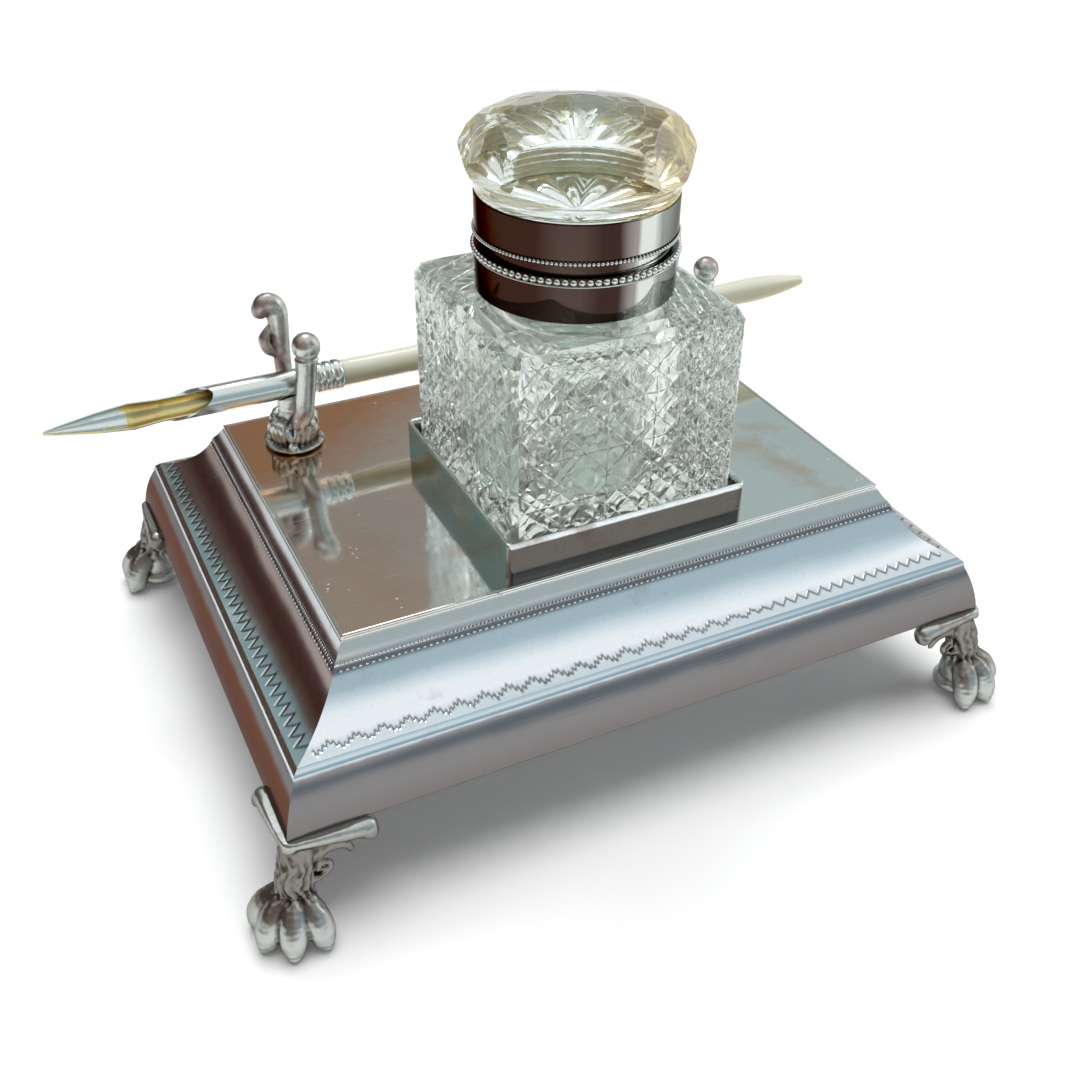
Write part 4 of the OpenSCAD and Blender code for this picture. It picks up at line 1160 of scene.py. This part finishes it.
def dome_mesh(cfg):
    """The lid's glass about the Z axis, in its own heights, with its facets."""
    under, seat, wide, top = DOME_LOW.z, BAND_HIGH.z + 0.05, BAND_HIGH.z + 7.4, DOME_HIGH.z
    band_r = (BAND_HIGH.x - BAND_LOW.x) / 2
    neck_r, key_depth = neck_radius(band_r), 0.7
    corner_r = (DOME_HIGH.x - DOME_LOW.x) / 2 * 1.05
    # The neck with grooves for the cement, the flare, and a crown that the facets cut away.
    profile = [(r, under) for r in np.linspace(0.01, neck_r, 6)]
    keys = np.linspace(under, seat, 9)[1:-1]
    profile += [(neck_r - key_depth * (i % 2 == 0), z) for i, z in enumerate(keys)] + [(neck_r, seat)]
    profile += arc((band_r - 0.5, seat), (band_r - 0.2, seat + 2.0), -0.3, 5)
    profile += arc((band_r + 0.1, seat + 2.4), (corner_r - 0.3, wide - 0.9), 0.5, 8)
    profile += [(corner_r, wide - 0.4), (corner_r, wide + 0.3)]
    crown = ((26.6, 2.6), (25.2, 4.8), (22.2, 7.1), (18.0, 8.85), (14.0, 9.75), (8.0, 10.2), (0.01, 10.3))
    body = clean(lathe(profile + [(r, wide + z) for r, z in crown], 128))

    bm = bmesh.new()
    bm.from_mesh(body)
    # The star cut under the neck.
    for vert in bm.verts:
        if vert.co.z < under + 0.01:
            reach = math.hypot(vert.co.x, vert.co.y)
            ray = abs(math.cos(cfg.star_rays / 2 * math.atan2(vert.co.y, vert.co.x)))
            vert.co.z += cfg.star_depth * ray * reach / neck_r * (reach < neck_r - 0.1)
    middle = Vector((0, 0, wide))

    def facet(azimuth, elevation, distance):
        a, e = math.radians(azimuth), math.radians(elevation)
        normal = Vector((math.cos(a) * math.cos(e), math.sin(a) * math.cos(e), math.sin(e)))
        geometry = bm.verts[:] + bm.edges[:] + bm.faces[:]
        cut = bmesh.ops.bisect_plane(bm, geom=geometry, plane_co=middle + normal * distance, plane_no=normal,
                                     clear_outer=True)
        rim = [item for item in cut["geom_cut"] if isinstance(item, bmesh.types.BMEdge)]
        if rim:
            bmesh.ops.contextual_create(bm, geom=rim)

    first, step = -116, 360 / cfg.side_facets
    for k in range(cfg.side_facets):
        facet(first + k * step, 25, 20.03)
        facet(first + (k + 0.5) * step, 47, 19.9)
    for each, ahead, elevation, distance in ((3, 0, 65, 15.4), (3, 0.5, 76, 12.65), (2, 0, 84, 11.0)):
        count = each * cfg.side_facets
        for k in range(count):
            facet(first + (k + ahead) * 360 / count, elevation, distance)
    facet(0, 90, top - wide)
    bm.to_mesh(body)
    bm.free()
    return clean(body, 1e-3)


class INKSTAND_OT_dome(bpy.types.Operator):
    """Cut the faceted glass of the lid"""
    bl_idname = "inkstand.dome"
    bl_label = "Lid glass"

    def execute(self, context):
        cfg = context.scene.inkstand.glass
        above = BAND_HIGH.z + 6.5
        mesh = ground_lines(dome_mesh(cfg), cfg.edge_line, lambda at: at.z > above)
        mesh.transform(WELL_PLACE)
        # Painted amber reflection on the lid's right and left as the camera sees them.
        sides = ((WELL_ACROSS + 6, WELL_ACROSS + 18, 1.0), (WELL_ACROSS - 14, WELL_ACROSS - 23, 0.4))
        finish_piece("cut_lid_glass", mesh, glass("lid_glass_clear", cfg.lid_tint, 0.02, 0.96, sides), "lid",
                     ["lid_glass"], sharp=12)
        return {"FINISHED"}


class INKSTAND_OT_bands(bpy.types.Operator):
    """Turn the collar and the lid's band, and set their beading"""
    bl_idname = "inkstand.bands"
    bl_label = "Bands and beading"

    def execute(self, context):
        cfg = context.scene.inkstand.band
        r = COLLAR_R
        bore = r - BAND_WALL
        bezel = bore - 0.9
        foot, bezel_top = COLLAR_LOW.z, COLLAR_HIGH.z
        top = bezel_top - 4.2
        collar = [(bore, foot), (r, foot), (r, top), (bezel, top), (bezel, bezel_top),
                  (bezel - BAND_WALL, bezel_top), (bezel - BAND_WALL, top), (MOUTH_R, top),
                  (MOUTH_R, top - BAND_WALL), (bore, top - BAND_WALL)]
        low, high = BAND_LOW.z, BAND_HIGH.z
        band = [(bore, low), (r - 0.12, low), (r - 0.12, low + 1.1), (r, low + 1.25), (r, high), (bore, high)]
        for name, outline, soft, body, node in (("turned_collar", collar, 0.22, "well", "neck_collar"),
                                                ("turned_lid_band", band, 0.2, "lid", "lid_band")):
            mesh = clean(lathe(rounded(outline, soft), 256))
            finish_piece(name, moved(mesh, WELL_PLACE), silver("band"), body, [node],
                         sharp=40)

        tree = ring_tree()
        gap = math.asin(cfg.hinge_room / 2 / r)
        sweep, wire_r = math.tau - 2 * gap, 0.22
        for name, body, beads, bead_r, node in (
                ("beading", "well", cfg.beads, 0.86, "collar_bead_ring"),
                ("fine_beading", "lid", cfg.fine_beads, 0.46, "lid_bead_ring")):
            low, high = box_mm(node)
            z = (low.z + high.z) / 2
            mesh = grown(tree, {"Count": int(beads * (sweep / math.tau)), "Radius": r + 0.04, "Bead": bead_r,
                                "From": math.pi / 2 + gap, "Sweep": sweep, "Material": silver("bead")})
            mesh.transform(shift(0, 0, z))
            wire = [(r + 0.05 + wire_r * math.cos(a), z - 1.05 + wire_r * math.sin(a))
                    for a in np.linspace(0, math.tau, 8, endpoint=False)]
            mesh = joined([mesh] + ([clean(lathe(wire, 192))] if body == "well" else []))
            # Painted shade on the backs of the beads and on the wire, where they meet the collar.
            around = np.hypot(*coordinates(mesh)[:, :2].T)
            dark = np.clip((r + 0.25 - around) / 0.3, 0, 1)
            finish_piece(name, moved(mesh, WELL_PLACE), silver("bead"), body, [node],
                         cavity=dark)
        return {"FINISHED"}


# --- Pen ---

def shell(radii, starts, ends, wall, angles):
    """A curved shell about the X axis. radii gives the outer radius at a place along it."""
    shares = np.linspace(0, 1, 60)
    outside, inside = [], []
    for a, start, end in zip(angles, starts, ends):
        x = start + (end - start) * shares
        r = radii(x)
        for rows, rr in ((outside, r), (inside, np.maximum(r - wall, 0.02))):
            rows.append(np.stack([x, rr * math.sin(a), rr * math.cos(a)], -1))
    return np.concatenate([np.array(outside), np.array(inside)[:, ::-1]], 1)


class INKSTAND_OT_pen(bpy.types.Operator):
    """Model the nib, its tube and ring, and the pearl handle"""
    bl_idname = "inkstand.pen"
    bl_label = "Pen"

    def execute(self, context):
        place = shift(PEN_X, PEN_Y, PEN_Z) @ Matrix.Rotation(math.radians(38), 4, "X")
        point_l, tongue, slant = 20.5, 27.3, 13.0
        tube_r, tube_t, slack = 3.5, 0.5, 0.04
        inner_r = tube_r - tube_t - slack
        ring_x, ring_end = RING_LOW.x - PEN_X, RING_HIGH.x - PEN_X

        def nib_radius(x):
            return np.interp(x, [0, 3, point_l * 0.6, point_l, tongue, 200],
                             [0.45, 1.15, 2.65, tube_r, inner_r, inner_r])

        rows = 41
        loop = shell(nib_radius, [0.0] * rows, [tongue + slant + 12] * rows, 0.35,
                     np.radians(np.linspace(90, 270, rows)))
        mesh = clean(grid_mesh(loop, closed_columns=True, caps=True))
        nib = finish_piece("quill_nib", moved(mesh, place), silver("pen"), "pen", ["nib"], sharp=40)
        nib.data.materials.append(gilding())
        inverse = (Matrix.Scale(MM, 4) @ place).inverted()
        for polygon in nib.data.polygons:
            centre = inverse @ polygon.center
            facing = inverse.to_3x3() @ polygon.normal
            if centre.x > point_l - 0.8 and facing.yz.dot(centre.yz) < 0:
                polygon.material_index = 1

        angles = np.linspace(0, math.tau, 97)[:-1]
        starts = [tongue + slant * (math.cos(a) + 1) / 2 for a in angles]
        loop = shell(lambda x: np.full_like(x, tube_r), starts, [ring_end - 1] * len(angles), tube_t, angles)
        mesh = clean(grid_mesh(loop, closed_rows=True, closed_columns=True))
        finish_piece("nib_tube", moved(mesh, place), silver("pen"), "pen", ["ferrule"],
                     sharp=40)

        axis = place @ Matrix.Rotation(math.pi / 2, 4, "Y")
        ring_l, sag = ring_end - ring_x, 0.42
        low_r = (RING_HIGH.z - RING_LOW.z) / 2 - sag
        outline = [(tube_r + slack, ring_x), (tube_r + slack, ring_x)]
        for i in range(3):
            outline += arc((low_r, ring_x + i * ring_l / 3), (low_r, ring_x + (i + 1) * ring_l / 3), -sag, 8)
        outline.append((tube_r + slack, ring_end))
        finish_piece("banded_ring", moved(clean(lathe(outline, 96)), axis), silver("pen"), "pen",
                     ["ferrule_ring"], sharp=40)

        length, handle_r, peg_x = box_mm("handle")[1].x - PEN_X, 3.4, ring_end - 11.9
        outline = [(0.01, peg_x), (inner_r, peg_x), (inner_r, ring_end + slack)]
        outline += [(3.1, ring_end + slack), (handle_r, ring_end + 0.5)]
        outline += [(handle_r, x) for x in np.linspace(ring_end + 8, length - 27, 6)]
        outline += arc((handle_r, length - 26), (1.5, length - 1.0), -0.9, 14)
        outline += arc((1.4, length - 0.8), (0.01, length - slack), -0.3, 5)[1:]
        finish_piece("pearl_handle", moved(clean(lathe(outline, 96)), axis), pearl(), "pen",
                     ["handle"], sharp=40)
        return {"FINISHED"}


# --- Stage ---

def seen_directly(tree):
    """1 for a ray from the camera, or one that metal mirrors or glass lets through, and 0 for the rest."""
    path = add(tree, "ShaderNodeLightPath").outputs
    seen = calc(tree, "MAXIMUM", path["Is Camera Ray"], path["Is Glossy Ray"])
    return calc(tree, "MAXIMUM", seen, path["Is Transmission Ray"])


def card_paint(name, dark, pale, fading):
    """The light of a card: darker towards the left and, if fading, white at its top."""
    def build(tree):
        at = object_space(tree)
        cloud = calc(tree, "MULTIPLY", grain(tree, at, 3.5), 0.8)
        light = calc(tree, "ADD", cloud, along(tree, at, (0.55, -0.35, 0.5)))
        tone = mix_colour(tree, map_range(tree, light, 0.1, 0.75), dark, pale)
        if fading:
            tone = mix_colour(tree, map_range(tree, along(tree, at, UP), 0.60, 0.86), tone, (0.92, 0.97, 1.0))
        return {"Emission Color": tone, "Emission Strength": 1.0, "Base Color": (0, 0, 0), "Roughness": 1.0,
                "Specular IOR Level": 0.0}
    return surface(name, build)


class INKSTAND_OT_stage(bpy.types.Operator):
    """Set the camera, the floor, the cards that the metal reflects, and the lights"""
    bl_idname = "inkstand.stage"
    bl_label = "Stage"

    def execute(self, context):
        scene, cfg = context.scene, context.scene.inkstand.stage
        self.camera(scene, cfg)
        scene.view_settings.view_transform = "Standard"
        scene.cycles.max_bounces = 24
        scene.cycles.glossy_bounces = 14
        scene.cycles.transmission_bounces = 20
        self.world(scene, cfg)
        self.floor(scene, cfg)
        self.cards(scene)
        for name, at, aim, size, power, tone in (
                ("window", (0.15, 0.55, 1.15), (0.0, -0.02, 0.05), (0.5, 0.3), 2.6, (0.93, 0.97, 1.0)),
                ("side", (1.1, -0.25, 0.6), (0.0, 0.0, 0.06), (0.3, 0.6), 1.4, (0.96, 0.98, 1.0))):
            data = self.lamp(scene, name, "AREA", power, at, aim).data
            data.shape, data.size, data.size_y, data.color = "RECTANGLE", *size, tone
        overhead = self.lamp(scene, "overhead", "SUN", cfg.overhead, (0.1, 0.1, 1.0), (0, 0, 0))
        overhead.data.angle = math.radians(50)
        overhead.visible_glossy = overhead.visible_transmission = False
        return {"FINISHED"}

    def camera(self, scene, cfg):
        forward = Vector((math.sin(cfg.yaw) * math.cos(cfg.pitch), math.cos(cfg.yaw) * math.cos(cfg.pitch),
                          math.sin(cfg.pitch)))
        right = Vector((math.cos(cfg.yaw), -math.sin(cfg.yaw), 0))
        up = right.cross(forward)
        right, up = (right * math.cos(cfg.roll) + up * math.sin(cfg.roll),
                     up * math.cos(cfg.roll) - right * math.sin(cfg.roll))
        data = bpy.data.cameras.new("camera")
        data.lens, data.sensor_width, data.clip_start = cfg.lens, 36, 0.01
        scene.camera = bpy.data.objects.new("camera", data)
        scene.collection.objects.link(scene.camera)
        scene.camera.matrix_world = Matrix((right, up, -forward)).transposed().to_4x4()
        scene.camera.location = cfg.camera_at

    def world(self, scene, cfg):
        """Even light all round, and a white background where it is seen, mirrored or seen through glass."""
        scene.world = bpy.data.worlds.new("sky")
        scene.world.use_nodes = True
        tree = scene.world.node_tree
        strength = map_range(tree, seen_directly(tree), 0.0, 1.0, cfg.sky, 1.0)
        feed(tree, tree.nodes["Background"], {"Color": (1, 1, 1), "Strength": strength})

    def floor(self, scene, cfg):
        """A white floor, slightly lifted where it is seen."""
        def build(tree):
            tone = cfg.floor_colour[:3]
            cloudy = mix_colour(tree, grain(tree, object_space(tree), 30.0), tone, [c * 0.99 for c in tone])
            return {"Base Color": cloudy, "Roughness": 0.9, "Specular IOR Level": 0.0,
                    "Emission Color": (1, 1, 1),
                    "Emission Strength": map_range(tree, seen_directly(tree), 0.0, 1.0, 0.0, cfg.floor_lift)}
        reach = 3.0
        mesh = bpy.data.meshes.new("floor")
        mesh.from_pydata([(x, y, 0) for x, y in ((-reach, -reach), (reach, -reach), (reach, reach),
                                                 (-reach, reach))], [], [(0, 1, 2, 3)])
        self.show(scene, "floor", mesh, surface("floor_paint", build))

    def cards(self, scene):
        """Cards beside the stand that the metal mirrors. Each has its first and last turn and rise, in
        degrees, its distance, its two colours and whether it fades to white."""
        for name, start, end, low, high, distance, dark, pale, fading in (
                ("card_front", -168, -96, -2, 60, 1.0, (0.20, 0.14, 0.11), (0.30, 0.25, 0.21), False),
                ("card_right", -96, -28, -3, 52, 1.05, (0.26, 0.30, 0.32), (0.42, 0.52, 0.58), True),
                ("card_left", 88, 192, -4, 40, 1.1, (0.10, 0.05, 0.038), (0.26, 0.17, 0.14), False),
                ("card_left_high", 88, 150, 27, 50, 1.05, (0.20, 0.27, 0.28), (0.36, 0.44, 0.44), False),
                ("card_back", 62, 88, 20, 48, 1.2, (0.24, 0.17, 0.13), (0.36, 0.32, 0.28), False),
                ("card_back_right", 40, 62, 16, 50, 1.25, (0.36, 0.38, 0.36), (0.44, 0.52, 0.51), False)):
            turns = np.radians(np.linspace(start, end, 25))
            rises = np.radians(np.linspace(low, high, 9))
            points = np.array([[(distance * math.cos(t) * math.cos(r), distance * math.sin(t) * math.cos(r),
                                 distance * math.sin(r) + 0.03) for r in rises] for t in turns])
            card = self.show(scene, name, grid_mesh(points), card_paint(name, dark, pale, fading))
            card.visible_camera = card.visible_diffuse = False
            card.visible_shadow = card.visible_transmission = False

    def show(self, scene, name, mesh, material):
        mesh.materials.append(material)
        thing = bpy.data.objects.new(name, mesh)
        scene.collection.objects.link(thing)
        return thing

    def lamp(self, scene, name, kind, power, at, aim):
        data = bpy.data.lights.new(name, kind)
        data.energy = power
        lamp = bpy.data.objects.new(name, data)
        scene.collection.objects.link(lamp)
        lamp.location = at
        lamp.rotation_euler = (Vector(aim) - Vector(at)).to_track_quat("-Z", "Y").to_euler()
        lamp.visible_camera = False
        return lamp


class INKSTAND_PT_panel(bpy.types.Panel):
    """Steps that build the inkstand"""
    bl_idname = "INKSTAND_PT_panel"
    bl_label = "Inkstand"
    bl_space_type = "VIEW_3D"
    bl_region_type = "UI"
    bl_category = "Inkstand"

    def draw(self, context):
        for step in STEPS:
            self.layout.operator(step.bl_idname)


SETTINGS = (StageSettings, SilverSettings, StandSettings, CastSettings, GlassSettings, BandSettings,
            InkstandSettings)
STEPS = (INKSTAND_OT_stage, INKSTAND_OT_mouldings, INKSTAND_OT_milling, INKSTAND_OT_plate, INKSTAND_OT_feet,
         INKSTAND_OT_rests, INKSTAND_OT_fixings, INKSTAND_OT_bottle, INKSTAND_OT_dome, INKSTAND_OT_bands,
         INKSTAND_OT_pen)


def register():
    for cls in SETTINGS + STEPS + (INKSTAND_PT_panel,):
        bpy.utils.register_class(cls)
    bpy.types.Scene.inkstand = PointerProperty(type=InkstandSettings)


def unregister():
    del bpy.types.Scene.inkstand
    for cls in reversed(SETTINGS + STEPS + (INKSTAND_PT_panel,)):
        bpy.utils.unregister_class(cls)


def main():
    register()
    for step in STEPS:
        group, name = step.bl_idname.split(".")
        getattr(getattr(bpy.ops, group), name)()


if __name__ == "__main__":
    main()
